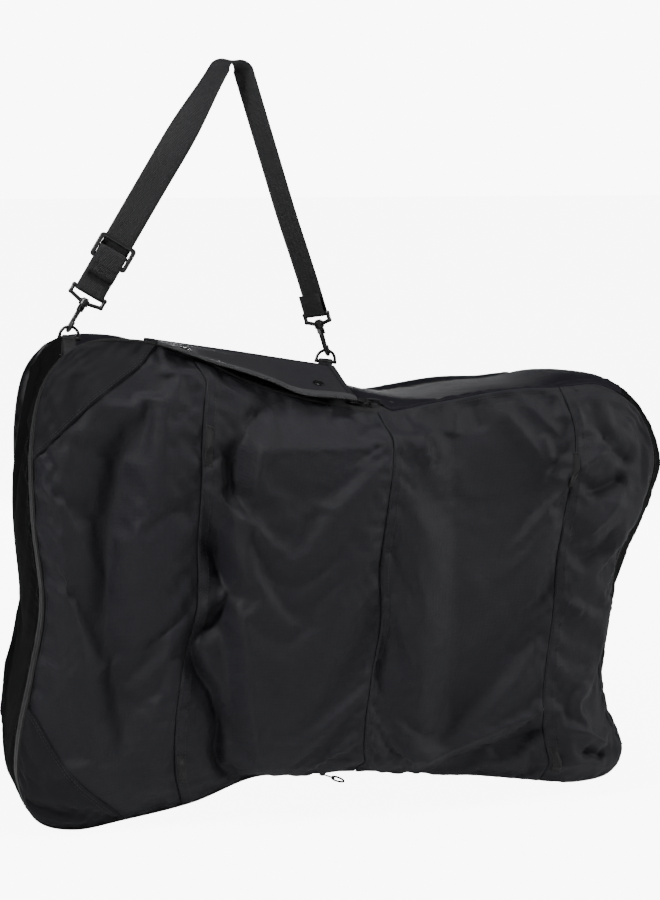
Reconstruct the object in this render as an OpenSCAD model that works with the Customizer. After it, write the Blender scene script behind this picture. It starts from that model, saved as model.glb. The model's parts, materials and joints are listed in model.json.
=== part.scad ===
// Soft travel and carry bag for a folded pushchair.
// X runs along the bag's length, the front face looks towards -Y and +Z is up.
// The origin is under the middle of the whole part, on the plane that it stands on.

/* [Bag] */
// Distance between the front and the back seam planes
bag_depth = 300; // [260:5:340]
// How far the front face swells in front of its seam
front_bulge = 32; // [20:1:40]
// Extra swell of the boxy middle of the front
box_bulge = 22; // [10:1:26]
// How far the back face swells behind its seam
back_bulge = 20; // [10:1:28]
// Size of the back outline relative to the front outline
back_scale = 0.95; // [0.9:0.01:1]
// Thickness of a lined fabric panel
panel_t = 2; // [1.4:0.1:2.4]
// Thickness of the foam pads behind the fabric
foam_t = 4; // [3:0.5:6]

/* [Zip] */
// Thickness of the zip tape
tape_t = 1; // [0.8:0.1:1.2]
// Thickness of the zip coil
coil_t = 2.2; // [2:0.1:2.4]

/* [Flap] */
// Thickness of the storm flap
flap_t = 1.8; // [1.2:0.1:2.2]

/* [Strap] */
// Width of the shoulder strap webbing
webbing_w = 38; // [34:1:38]
// Thickness of the shoulder strap webbing
webbing_t = 1.4; // [1.2:0.1:1.5]
// Lean of the left strap leg from upright
lean_left = 31; // [28:1:34]
// Lean of the right strap leg from upright
lean_right = 17; // [14:1:20]
// Radius of the bend at the top of the strap
apex_r = 16; // [12:1:20]

/* [Hardware] */
// Radius of the D-ring wire
ring_wire_r = 2; // [1.8:0.1:2]
// Radius of the snap hook's plastic section
hook_r = 2.3; // [2:0.1:2.4]
// Radial clearance of every pin in its hole
play = 0.06; // [0.04:0.01:0.1]

/* [Hidden] */
$fn = 32;
front_y = -bag_depth / 2;
back_y = bag_depth / 2;
outline_centre = [-10, 290];
// Sets the origin under the middle of the whole part, on the plane that it stands on
to_stand = [4.345, (front_bulge + box_bulge - back_bulge) / 2, 1.89];
clear = 0.5;
lining_gap = 2;
binding_gap = 3;

// Outline of the front seam and how far the side band stands proud of it:
// x, z and crown, clockwise from the foot of the middle seam.
RIM = [
    [-8, 48, 6], [-80, 50, 6], [-140, 50, 6], [-215, 24, 6], [-300, 8, 6], [-360, 0, 6],
    [-405, 14, 8], [-426, 60, 8], [-424, 115, 8], [-408, 190, 8], [-394, 275, 8],
    [-403, 375, 8], [-404, 470, 6], [-388, 545, -2], [-345, 585, -8], [-285, 590, -2],
    [-225, 572, 4], [-135, 523, 33], [-55, 509, 38], [20, 496, 34], [100, 506, 12],
    [190, 519, 8], [255, 520, 12], [310, 521, 22], [355, 492, 40], [383, 430, 46],
    [368, 365, 44], [335, 300, 42], [325, 240, 38], [314, 170, 34], [322, 110, 28],
    [345, 60, 18], [330, 25, 8], [285, 15, 6], [235, 20, 6], [150, 32, 6], [60, 42, 6]];
rim_n = len(RIM);

// Places along the outline, counted in outline points
bottom_left_t = 6.6;
top_left_t = 13.7;
top_right_t = 24.2;
bottom_right_t = 31;
middle_top_t = 19;
left_seam_top_t = 16.2;
left_seam_foot_t = 3.15;
right_seam_top_t = 22;
right_seam_foot_t = 34;

// Places of the three upright seams across the front face
left_seam_u = 0.26;
middle_seam_u = 0.54;
right_seam_u = 0.84;
face_w = 775;
face_h = 540;

// Rows up the front face, columns in each panel and cells along a corner patch
rows = 22;
left_cols = 8;
middle_cols = 9;
right_cols = 9;
end_cols = 6;
patch_cells = 5;
seam_gap_u = 0.0006;

// Bands around the side, as shares of the depth
zip_start_t = 0.15;
zip_end_t = 18.85;
door_zip_start_t = 0.95;
door_zip_end_t = 18.2;
door_tape_s = [0.008, 0.030];
door_coil_s = [0.0307, 0.038];
body_coil_s = [0.0433, 0.0507];
body_tape_s = [0.0513, 0.0733];
gusset_zip_s = 0.0753;
gusset_plain_s = 0.008;
gusset_end_s = 0.992;
corner_ts = [5.3, 14.2, 23.6, 31.4];
corner_gap_t = 0.012;

// Strap anchor axis, through the straight bars of both D-rings
left_bar = [-335, 0, 582];
right_bar = [-6, 0, 545.5];
anchor_tilt = atan2(left_bar.z - right_bar.z, right_bar.x - left_bar.x);
ring_half_w = 12;
ring_bar_wire_r = ring_wire_r + 0.2;
ring_arc_z = 2.5;
ring_top = ring_half_w + ring_arc_z;
tab_r = ring_bar_wire_r + 1.6;
tab_w = 17;

// Snap hook, measured up from the centre of the wire at its foot
hook_w = 7;
leg_top_z = 29;
shoulder_z = 28;
shoulder_h = 8;
post_r = 2.6;
boss_z = 36.4;
boss_h = 7.6;
ring_bar_z = 54;
ring_bar_r = 2.2;
ring_arm_x = 22;
ring_arm_r = 2;
gate_z = 31;
gate_y = -6.3;
gate_pin_r = 0.9;
hook_gap = ring_wire_r + hook_r + 0.9;
layer = ring_bar_r + 0.15 + webbing_t / 2;

module piece() translate(to_stand) children();
function lerp(a, b, f) = a + (b - a) * f;
function smooth(a, b, x) = let (f = min(max((x - a) / (b - a), 0), 1)) f * f * (3 - 2 * f);
function along(angle) = [sin(angle), 0, cos(angle)];
function spline(a, b, c, d, f) =
    0.5 * (2 * b + (c - a) * f + (2 * a - 5 * b + 4 * c - d) * f * f
    + (3 * b - a - 3 * c + d) * f * f * f);
function wrapped(i) = RIM[((i % rim_n) + rim_n) % rim_n];
function rim3(t) = let (i = floor(t), f = t - i)
    spline(wrapped(i - 1), wrapped(i), wrapped(i + 1), wrapped(i + 2), f);
function rim(t) = let (p = rim3(t)) [p.x, p.y];
function back_rim(t) = outline_centre + back_scale * (rim(t) - outline_centre);
function rim_normal(t) = let (d = rim(t + 0.05) - rim(t - 0.05)) [-d.y, d.x] / norm(d);

// Point of the side band: s runs from the front seam (0) to the back seam (1)
function band_point(t, s, inward) =
    let (crown = rim3(t).z * (1 - pow(abs(2 * s - 1), 3)),
         p = lerp(rim(t), back_rim(t), s) + rim_normal(t) * (crown - inward))
    [p.x, lerp(front_y, back_y, s), p.y];

// Front face: u runs from the left edge to the right edge and v from foot to top
function top_t(u) = lookup(u, [[0, top_left_t], [left_seam_u, left_seam_top_t],
    [middle_seam_u, middle_top_t], [right_seam_u, right_seam_top_t], [1, top_right_t]]);
function foot_t(u) = lookup(u, [[0, bottom_left_t], [left_seam_u, left_seam_foot_t],
    [middle_seam_u, 0], [right_seam_u, right_seam_foot_t - rim_n],
    [1, bottom_right_t - rim_n]]);
function face_xz(u, v) =
    let (left = rim(lerp(bottom_left_t, top_left_t, v)),
         right = rim(lerp(bottom_right_t, top_right_t, v)),
         c00 = rim(bottom_left_t), c01 = rim(top_left_t),
         c10 = rim(bottom_right_t), c11 = rim(top_right_t))
    lerp(rim(foot_t(u)), rim(top_t(u)), v) + lerp(left, right, u)
    - lerp(lerp(c00, c10, u), lerp(c01, c11, u), v);
function rise(d, w) = 1 - pow(1 - min(d / w, 1), 2.2);
function swell(u, v) = rise(min(u, 1 - u) * face_w, 120) * rise(min(v, 1 - v) * face_h, 110);
function box_swell(x, z) = box_bulge * smooth(-190, -140, x) * (1 - smooth(50, 110, x))
    * smooth(50, 80, z) * (1 - smooth(440, 500, z));
function front_point(u, v, inward) =
    let (p = face_xz(u, v))
    [p.x, front_y - front_bulge * swell(u, v) - box_swell(p.x, p.y) + inward, p.y];
function back_point(u, v, inward) =
    let (p = outline_centre + back_scale * (face_xz(u, v) - outline_centre))
    [p.x, back_y + back_bulge * swell(u, v) - inward, p.y];

// Flap: a runs along it from left to right and b from its hinge line to its lip
flap_left = [-250, -52, 584];
flap_right = [-8, -52, 543];
flap_lip_y = -162;
LIP = [[-256, 588], [-190, 574], [-122, 552], [-68, 528], [-10, 514]];
function lip_point(i) = LIP[min(max(i, 0), len(LIP) - 1)];
function lip(a) = let (t = a * (len(LIP) - 1), i = min(floor(t), len(LIP) - 2))
    spline(lip_point(i - 1), lip_point(i), lip_point(i + 1), lip_point(i + 2), t - i);
function flap_point(a, b, down) =
    let (e = lip(a), p = lerp(lerp(flap_left, flap_right, a), [e.x, flap_lip_y, e.y], b))
    [p.x, p.y, p.z - down];

// Strap: both legs are straight lines that would meet above the bend
left_dir = along(lean_left);
right_dir = along(-lean_right);
ring_up = along(anchor_tilt);
left_foot = left_bar + ring_up * ring_top
    - left_dir * (hook_gap / cos(lean_left - anchor_tilt));
right_foot = right_bar + ring_up * ring_top
    - right_dir * (hook_gap / cos(lean_right + anchor_tilt));
left_ring_bar = left_foot + left_dir * ring_bar_z;
right_ring_bar = right_foot + right_dir * ring_bar_z;
leg_angle = lean_left + lean_right;
gap_vec = right_ring_bar - left_ring_bar;
left_leg = (gap_vec.x * right_dir.z - gap_vec.z * right_dir.x) / sin(leg_angle);
right_leg = (gap_vec.x * left_dir.z - gap_vec.z * left_dir.x) / sin(leg_angle);
apex_cut = apex_r / tan(leg_angle / 2);
left_len = left_leg - apex_cut;
right_len = right_leg - apex_cut;
apex_turn = 180 - leg_angle;
left_end = left_ring_bar + left_dir * left_len;
apex_centre = left_end + [left_dir.z, 0, -left_dir.x] * apex_r;

// Turn of the webbing about its own run: 90 faces the front, 0 lies flat over the bend
right_turn = -28;
function leg_turn(h) = 90 - 60 * smooth(0.5, 1, h / left_len);

// A ribbon station is a centre point and the direction across the webbing
function across(dir, outward, turn) = outward * sin(turn) + [0, 1, 0] * cos(turn);
function facing(dir, outward, turn) = outward * cos(turn) - [0, 1, 0] * sin(turn);
left_out = [-left_dir.z, 0, left_dir.x];
right_out = [right_dir.z, 0, -right_dir.x];
tail_len = 34;
tail_y = -0.9;

function left_stations() = concat(
    [for (h = [tail_len, 24, 14]) [left_ring_bar + left_dir * h + [0, tail_y, 0], left_out]],
    [for (a = [180 : -30 : 0])
        [left_ring_bar - left_dir * (layer * sin(a)) + [0, layer * cos(a), 0], left_out]],
    [for (h = [20, 45, 75, 105])
        [left_ring_bar + left_dir * h + [0, layer, 0], left_out]],
    [for (i = [0 : 10]) let (h = lerp(135, left_len, i / 10),
        y = layer * (1 - smooth(120, 240, h)))
        [left_ring_bar + left_dir * h + [0, y, 0], across(left_dir, left_out, leg_turn(h))]]);
function apex_stations() = [for (i = [1 : 7]) let (f = i / 8,
        a = lean_left + apex_turn * f, out = [-cos(a), 0, sin(a)],
        turn = lerp(30, right_turn, f))
    [apex_centre + out * apex_r, across([sin(a), 0, cos(a)], out, turn)]];
right_face = facing(right_dir, right_out, right_turn);
right_across = across(right_dir, right_out, right_turn);
function right_stations() = concat(
    [for (i = [0 : 7]) let (h = lerp(right_len, 20, i / 7),
        off = layer * (1 - smooth(30, 150, h)))
        [right_ring_bar + right_dir * h + right_face * off, right_across]],
    [for (a = [0 : 30 : 180])
        [right_ring_bar - right_dir * (layer * sin(a)) + right_face * (layer * cos(a)),
            right_across]],
    [for (h = [14, 26]) [right_ring_bar + right_dir * h - right_face * (layer - 0.3 * (h - 14) / 12),
        right_across]]);

// Closed skin between an outer and an inner grid of points. The outer normal is
// the first grid direction crossed with the second. Cells from column `split` on are
// cut along their other diagonal.
module sheet(outer, inner, split = 1e6) {
    m = len(outer) - 1;
    n = len(outer[0]) - 1;
    base = (m + 1) * (n + 1);
    points = concat([for (r = outer) for (p = r) p], [for (r = inner) for (p = r) p]);
    k = function (i, j) i * (n + 1) + j;
    cells = [for (i = [0 : m - 1]) for (j = [0 : n - 1])
        let (a = k(i, j), b = k(i + 1, j), c = k(i + 1, j + 1), d = k(i, j + 1))
        each (j < split
            ? [[a, d, b], [d, c, b], [a + base, b + base, d + base],
               [d + base, b + base, c + base]]
            : [[a, c, b], [a, d, c], [a + base, b + base, c + base],
               [a + base, c + base, d + base]])];
    edge = function (p, q) [[p, q, q + base], [p, q + base, p + base]];
    sides = concat(
        [for (i = [0 : m - 1]) each edge(k(i, 0), k(i + 1, 0))],
        [for (i = [0 : m - 1]) each edge(k(i + 1, n), k(i, n))],
        [for (j = [0 : n - 1]) each edge(k(0, j + 1), k(0, j))],
        [for (j = [0 : n - 1]) each edge(k(m, j), k(m, j + 1))]);
    polyhedron(points = points, faces = concat(cells, sides));
}

// Panel of the front face between two places across it. A pad behind a panel leaves
// out `side` columns and `low` and `high` rows, and keeps to the panel's own cells.
module front_panel(u0, u1, cols, side = 0, low = 0, high = 0, depth0 = 0, depth1 = panel_t) {
    grid = function (inward) [for (i = [side : cols - side]) [for (j = [low : rows - high])
        front_point(lerp(u0, u1, i / cols), j / rows, inward)]];
    sheet(grid(depth0), grid(depth1), rows / 2 - low);
}

// Strip of the side band between two places around it and two depths
module band(t0, t1, s0, s1, steps, across_steps, out, thick) {
    grid = function (inward) [for (i = [0 : steps]) [for (j = [0 : across_steps])
        band_point(lerp(t0, t1, i / steps), lerp(s0, s1, j / across_steps), inward)]];
    sheet(grid(-out), grid(thick - out));
}

// Side panel whose front edge steps back behind the zip
module gusset(t0, t1, steps) {
    start = function (t) lerp(gusset_zip_s, gusset_plain_s,
        max(smooth(18.95, 19.3, t), 1 - smooth(-0.6, -0.2, t)));
    grid = function (inward) [for (i = [0 : steps]) [for (j = [0 : 8])
        let (t = lerp(t0, t1, i / steps))
        band_point(t, lerp(start(t), gusset_end_s, j / 8), inward)]];
    sheet(grid(0), grid(panel_t));
}

// Triangular overlay in a left corner of the face, on the same cells as the panel
module corner_patch(top) {
    n = patch_cells;
    du = left_seam_u / left_cols;
    outer_gap = 0.4;
    at = function (i, j, inward)
        front_point(i * du, top ? 1 - j / rows : j / rows, inward);
    index = function (i, j) i * (n + 1) - i * (i - 1) / 2 + j;
    base = (n + 1) * (n + 2) / 2;
    layers = [for (inward = [-outer_gap - 1, -outer_gap]) for (i = [0 : n]) for (j = [0 : n - i])
        at(i, j, inward)];
    turned = function (f) top ? [f[2], f[1], f[0]] : f;
    tri = concat(
        [for (i = [0 : n - 1]) for (j = [0 : n - 1 - i])
            [index(i, j), index(i, j + 1), index(i + 1, j)]],
        [for (i = [0 : n - 2]) for (j = [0 : n - 2 - i])
            [index(i + 1, j), index(i, j + 1), index(i + 1, j + 1)]]);
    under = [for (f = tri) [f[2] + base, f[1] + base, f[0] + base]];
    edge = function (p, q) [[p, q, q + base], [p, q + base, p + base]];
    sides = concat(
        [for (i = [0 : n - 1]) each edge(index(i, 0), index(i + 1, 0))],
        [for (i = [0 : n - 1]) each edge(index(i + 1, n - i - 1), index(i, n - i))],
        [for (j = [0 : n - 1]) each edge(index(0, j + 1), index(0, j))]);
    polyhedron(points = layers, faces = [for (f = concat(tri, under, sides)) turned(f)]);
}

// Flat webbing swept through a list of stations
module ribbon(stations, width, thick) {
    n = len(stations);
    frame = [for (i = [0 : n - 1])
        let (dir = stations[min(i + 1, n - 1)][0] - stations[max(i - 1, 0)][0],
             w = stations[i][1] / norm(stations[i][1]),
             flat = dir - w * (dir * w),
             up = cross(flat / norm(flat), w))
        [stations[i][0], w, up]];
    side = function (sign) [for (f = frame) [for (e = [-1, 1])
        f[0] + f[1] * (e * width / 2) + f[2] * (sign * thick / 2)]];
    sheet(side(1), side(-1));
}

// Round rod between two points
module rod(a, b, r) {
    d = b - a;
    translate(a) rotate([0, acos(d.z / norm(d)), atan2(d.y, d.x)]) cylinder(r = r, h = norm(d));
}

module front_left_panel() color("#2a2a2e") piece() front_panel(0, left_seam_u - seam_gap_u, left_cols);
module front_middle_panel() color("#2c2c30") piece()
    front_panel(left_seam_u, middle_seam_u - seam_gap_u, middle_cols);
module front_right_panel() color("#2c2c30") piece()
    front_panel(middle_seam_u, right_seam_u - seam_gap_u, right_cols);
module front_end_panel() color("#2a2a2e") piece() front_panel(right_seam_u, 1, end_cols);

module back_panel() color("#26262a") piece() {
    cols = 22;
    lines = 16;
    grid = function (inward) [for (i = [0 : cols]) [for (j = [0 : lines])
        back_point(1 - i / cols, j / lines, inward)]];
    sheet(grid(0), grid(panel_t));
}

module back_pad() color("#4a4a4e") piece() {
    cols = 12;
    lines = 8;
    grid = function (inward) [for (i = [0 : cols]) [for (j = [0 : lines])
        back_point(lerp(0.9, 0.1, i / cols), lerp(0.12, 0.88, j / lines), inward)]];
    sheet(grid(panel_t + lining_gap), grid(panel_t + lining_gap + foam_t));
}

module door_pad() color("#4a4a4e") piece()
    front_panel(left_seam_u, middle_seam_u - seam_gap_u, middle_cols, 1, 2, 3,
        panel_t + clear, panel_t + clear + foam_t);

module base_pad() color("#4a4a4e") piece()
    band(-3.6, 4.2, 0.12, 0.88, 22, 8, -panel_t - lining_gap, foam_t);

module left_gusset() color("#1c1c1f") piece() gusset(corner_ts[0] + corner_gap_t, corner_ts[1], 26);
module top_gusset() color("#222226") piece() gusset(corner_ts[1] + corner_gap_t, corner_ts[2], 30);
module right_gusset() color("#1e1e22") piece() gusset(corner_ts[2] + corner_gap_t, corner_ts[3], 22);
module bottom_gusset() color("#18181a") piece()
    gusset(corner_ts[3] - rim_n + corner_gap_t, corner_ts[0], 30);

module back_binding() color("#101012") piece()
    band(0.01, rim_n - 0.01, 0.94, 0.985, 111, 1, -panel_t - binding_gap, 1.2);
module front_binding() color("#101012") piece()
    band(zip_end_t + 0.6, rim_n - 0.6, 0.03, 0.07, 54, 1, -panel_t - binding_gap, 1.2);

module corner_patch_top() color("#303034") piece() corner_patch(true);
module corner_patch_foot() color("#303034") piece() corner_patch(false);

module zip_tape_door() color("#16161a") piece()
    band(door_zip_start_t, door_zip_end_t, door_tape_s[0], door_tape_s[1], 72, 1, 0, tape_t);
module zip_coil_door() color("#0c0c0e") piece()
    band(door_zip_start_t, door_zip_end_t, door_coil_s[0], door_coil_s[1], 72, 1, 0.4, coil_t);
module zip_tape_body() color("#16161a") piece()
    band(zip_start_t, zip_end_t, body_tape_s[0], body_tape_s[1], 76, 1, 0, tape_t);
module zip_coil_body() color("#0c0c0e") piece()
    band(zip_start_t, zip_end_t, body_coil_s[0], body_coil_s[1], 76, 1, 0.4, coil_t);

// Metal clip across the end of the zip
module zip_stop(t) on_band(t, 0.04) translate([-1.5, -5, -1.2]) cube([3, 10, 2.4]);
module zip_end_stops() color("#333338") piece() {
    zip_stop(zip_start_t - 0.07);
    zip_stop(zip_end_t + 0.07);
}

// Small tape loops sewn into an upright seam
module seam_loop(u, v) {
    grid = function (inward) [for (i = [0 : 2]) [for (j = [0 : 3])
        front_point(u + i * 0.006, v + j * 0.026, inward)]];
    sheet(grid(-3), grid(-1.4));
}
module seam_loops_left() color("#202024") piece() {
    seam_loop(left_seam_u - 0.004 - 0.012, 0.80);
    seam_loop(left_seam_u - 0.004 - 0.012, 0.10);
}
module seam_loops_right() color("#202024") piece() {
    seam_loop(right_seam_u + 0.004, 0.80);
    seam_loop(right_seam_u + 0.004, 0.08);
}

module storm_flap() color("#26262a") piece() {
    grid = function (down) [for (i = [0 : 20]) [for (j = [0 : 5])
        flap_point(i / 20, 1 - j / 5, down)]];
    sheet(grid(0), grid(flap_t));
}
module flap_edge_tape() color("#3a3a40") piece() {
    ahead = 0.6;
    grid = function (down) [for (i = [0 : 24]) [for (y = [flap_lip_y - ahead - 3, flap_lip_y - ahead])
        let (p = flap_point(i / 24, 1, down)) [p.x, y, p.z]]];
    sheet(grid(-0.4), grid(flap_t + 0.4));
}

// Snap fasteners: cap above the flap, socket under it and stud on the bag
snap_places = [[0.16, 0.66], [0.83, 0.66]];
snap_r = 6.5;
stud_r = 2.6;
stud_ts = [16.1, 18.05];
stud_s = 0.097;
function band_slope(t, s) = let (n = rim_normal(t),
        d = band_point(t, s + 0.01, 0) - band_point(t, s - 0.01, 0))
    atan((d.x * n.x + d.z * n.y) / d.y);
module at_band(t, s) {
    n = rim_normal(t);
    translate(band_point(t, s, 0)) rotate([0, atan2(n.x, n.y), 0]) children();
}
module on_band(t, s) at_band(t, s) rotate([band_slope(t, s), 0, 0]) children();
module at_snap(place) {
    p = flap_point(place[0], place[1], 0);
    across_flap = flap_point(place[0], place[1] - 0.1, 0) - flap_point(place[0], place[1] + 0.1, 0);
    along_flap = flap_point(place[0] + 0.05, place[1], 0) - flap_point(place[0] - 0.05, place[1], 0);
    pitch = atan2(across_flap.z, across_flap.y);
    roll = -atan2(along_flap.z, along_flap.x);
    translate(p) rotate([pitch, roll, 0]) children();
}
module snap_caps() color("#55555c") piece() for (place = snap_places) at_snap(place)
    translate([0, 0, 0.6]) {
        cylinder(r = snap_r, h = 0.8);
        translate([0, 0, 0.8]) cylinder(r1 = snap_r - 0.6, r2 = snap_r - 2, h = 0.6);
    }
module snap_sockets() color("#55555c") piece() for (place = snap_places) at_snap(place)
    translate([0, 0, -flap_t - 0.6 - 2]) difference() {
        cylinder(r = snap_r - 1, h = 2);
        translate([0, 0, -1]) cylinder(r = stud_r + 0.6, h = 4);
    }
module snap_studs() color("#55555c") piece() for (t = stud_ts) on_band(t, stud_s)
    translate([0, 0, 0.6]) {
        cylinder(r = snap_r - 2, h = 0.7);
        cylinder(r = stud_r, h = 1.2);
    }

// Zip slider around the coils: travel along X, outer side up. The divider between
// its plates stands upright in the gap between the coils, whatever the plates' slope.
slider_l = 18;
module zip_slider(slope) {
    difference() {
        union() {
            translate([-slider_l / 2, -4.5, 1.1]) cube([slider_l, 9, 1.5]);
            translate([-slider_l / 2, -4.5, -4.4]) cube([slider_l, 9, 1.5]);
            rotate([-slope, 0, 0]) translate([slider_l / 2 - 3.5, -0.4, -3.9])
                cube([3, 0.8, 5.9]);
            for (side = [-1, 1]) translate([-4, side * 2.9 - 0.5, 2.5]) cube([6, 1, 4]);
        }
        translate([-1, 0, 4.7]) rotate([90, 0, 0])
            cylinder(r = gate_pin_r + play, h = 12, center = true);
    }
}
// Pull tab, hinged about Y through its own origin and pointing along X
module zip_puller() {
    difference() {
        union() {
            rotate([90, 0, 0]) cylinder(r = 1.8, h = 3.6, center = true);
            rotate([90, 0, 0]) cylinder(r = gate_pin_r, h = 7.4, center = true);
            translate([1, -1.8, -0.8]) cube([4, 3.6, 1.6]);
            translate([4.5, -3, -0.8]) cube([12, 6, 1.6]);
        }
        translate([13, 0, -2]) cylinder(r = 1.9, h = 4);
    }
}
// Cord loop through the pull tab's hole
module pull_cord() {
    cord_r = 1.3;
    cord_half_w = 2.8;
    translate([13 + 1.9 + 6.5, 0, 0]) rotate([90, 0, 0]) {
        for (side = [-1, 1]) translate([0, side * cord_half_w, 0]) rotate([0, 90, 0])
            cylinder(r = cord_r, h = 11, center = true);
        translate([-5.5, 0, 0]) rotate([0, 0, 90])
            rotate_extrude(angle = 180) translate([cord_half_w, 0]) circle(r = cord_r);
        translate([5.5, 0, 0]) rotate([0, 0, -90])
            rotate_extrude(angle = 180) translate([cord_half_w, 0]) circle(r = cord_r);
    }
}
top_slider_t = 18.66;
foot_slider_t = 0.52;
zip_mid_s = 0.04065;
// The top pull tab lies flat, to pass under the flap; the foot one hangs away
top_puller_rest = 6;
foot_puller_rest = 20;
top_slope = band_slope(top_slider_t, zip_mid_s);
foot_slope = band_slope(foot_slider_t, zip_mid_s);
module at_top_slider() on_band(top_slider_t, zip_mid_s) children();
module at_foot_slider() on_band(foot_slider_t, zip_mid_s) rotate([0, 0, 180]) children();
module at_puller(rest) translate([-1, 0, 4.7]) rotate([0, -rest, 0]) children();
module slider_top() color("#3c3c42") piece() at_top_slider() zip_slider(top_slope);
module puller_top() color("#3c3c42") piece() at_top_slider() at_puller(top_puller_rest) zip_puller();
module cord_top() color("#18181a") piece() at_top_slider() at_puller(top_puller_rest) pull_cord();
module slider_foot() color("#3c3c42") piece() at_foot_slider() zip_slider(-foot_slope);
module puller_foot() color("#3c3c42") piece() at_foot_slider() at_puller(foot_puller_rest) zip_puller();
module cord_foot() color("#18181a") piece() at_foot_slider() at_puller(foot_puller_rest) pull_cord();

// Webbing tab that holds a D-ring's straight bar, and the ring itself
module ring_tab(drop) difference() {
    union() {
        rotate([0, 90, 0]) cylinder(r = tab_r, h = tab_w, center = true);
        translate([-tab_w / 2, -tab_r, -drop]) cube([tab_w, 2 * tab_r, drop]);
        translate([-tab_w / 2, -13, -drop]) cube([tab_w, 26, 1.4]);
    }
    rotate([0, 90, 0]) cylinder(r = ring_bar_wire_r + play, h = tab_w + 2, center = true);
}
module d_ring() {
    rotate([0, 90, 0]) cylinder(r = ring_bar_wire_r, h = 2 * ring_half_w + 5, center = true);
    for (side = [-1, 1]) translate([side * ring_half_w, 0, 0])
        cylinder(r = ring_wire_r, h = ring_arc_z);
    translate([0, 0, ring_arc_z]) rotate([90, 0, 0]) rotate_extrude(angle = 180)
        translate([ring_half_w, 0]) circle(r = ring_wire_r);
}
module on_axis(bar) translate(bar) rotate([0, anchor_tilt, 0]) children();
module ring_tab_left() color("#2a2a2e") piece() on_axis(left_bar) ring_tab(5.6);
module ring_tab_right() color("#2a2a2e") piece() on_axis(right_bar) ring_tab(8);
module d_ring_left() color("#1a1a1c") piece() on_axis(left_bar) d_ring();
module d_ring_right() color("#1a1a1c") piece() on_axis(right_bar) d_ring();

// Plastic snap hook: foot of the hook at the origin, post up, opening towards -Y
module snap_hook() difference() {
    union() {
        translate([0, 0, hook_w]) rotate([0, 90, 0]) rotate([0, 0, -90])
            rotate_extrude(angle = 180) translate([hook_w, 0]) circle(r = hook_r);
        rod([0, hook_w, hook_w], [0, hook_w, leg_top_z], hook_r);
        rod([0, -hook_w, hook_w], [0, -hook_w, hook_w + 4.4], hook_r);
        translate([0, -hook_w, hook_w + 4.4]) sphere(r = hook_r);
        translate([-3, -hook_w - 2.3, shoulder_z]) cube([6, 2 * hook_w + 4.6, shoulder_h]);
        translate([0, 0, shoulder_z + shoulder_h - 1]) cylinder(r = post_r, h = 10);
        translate([0, 0, boss_z + boss_h + 0.4]) cylinder(r = post_r + 1.4, h = 2);
    }
    translate([-1.75, -hook_w - 3, shoulder_z - 1]) cube([3.5, 8, 6.6]);
    translate([0, gate_y, gate_z]) rotate([0, 90, 0])
        cylinder(r = gate_pin_r + play, h = 20, center = true);
}
// Spring gate of the hook, with its pin
module hook_gate() {
    translate([0, gate_y, gate_z]) rotate([0, 90, 0]) {
        cylinder(r = gate_pin_r, h = 6, center = true);
        cylinder(r = 1.9, h = 3, center = true);
    }
    rod([0, gate_y, gate_z], [0, -3.4, hook_w + 6.6], 1.5);
    translate([0, -3.4, hook_w + 6.6]) sphere(r = 1.5);
}
// Swivel ring: boss around the hook's post and a window for the webbing
module swivel_ring() difference() {
    union() {
        translate([0, 0, boss_z]) cylinder(r = 5.6, h = boss_h);
        for (side = [-1, 1]) {
            rod([side * 4.5, 0, boss_z + 4], [side * ring_arm_x, 0, boss_z + 8], ring_arm_r);
            translate([side * ring_arm_x, 0, boss_z + 8]) sphere(r = ring_arm_r + 0.5);
            rod([side * ring_arm_x, 0, boss_z + 8], [side * ring_arm_x, 0, ring_bar_z],
                ring_arm_r);
            translate([side * ring_arm_x, 0, ring_bar_z]) sphere(r = ring_arm_r + 0.6);
        }
        rod([-ring_arm_x, 0, ring_bar_z], [ring_arm_x, 0, ring_bar_z], ring_bar_r);
    }
    translate([0, 0, boss_z - 1]) cylinder(r = post_r + play, h = boss_h + 2);
}
module on_left_leg() translate(left_foot) rotate([0, lean_left, 0]) children();
module on_right_leg() translate(right_foot) rotate([0, -lean_right, 0]) children();
module hook_left() color("#1a1a1c") piece() on_left_leg() snap_hook();
module gate_left() color("#242428") piece() on_left_leg() hook_gate();
module swivel_ring_left() color("#1a1a1c") piece() on_left_leg() swivel_ring();
module hook_right() color("#1a1a1c") piece() on_right_leg() snap_hook();
module gate_right() color("#242428") piece() on_right_leg() hook_gate();
module swivel_ring_right() color("#1a1a1c") piece() on_right_leg()
    rotate([0, 0, 90 - right_turn]) swivel_ring();

module strap_webbing() color("#2e2e33") piece()
    ribbon(concat(left_stations(), apex_stations(), right_stations()), webbing_w, webbing_t);

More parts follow.
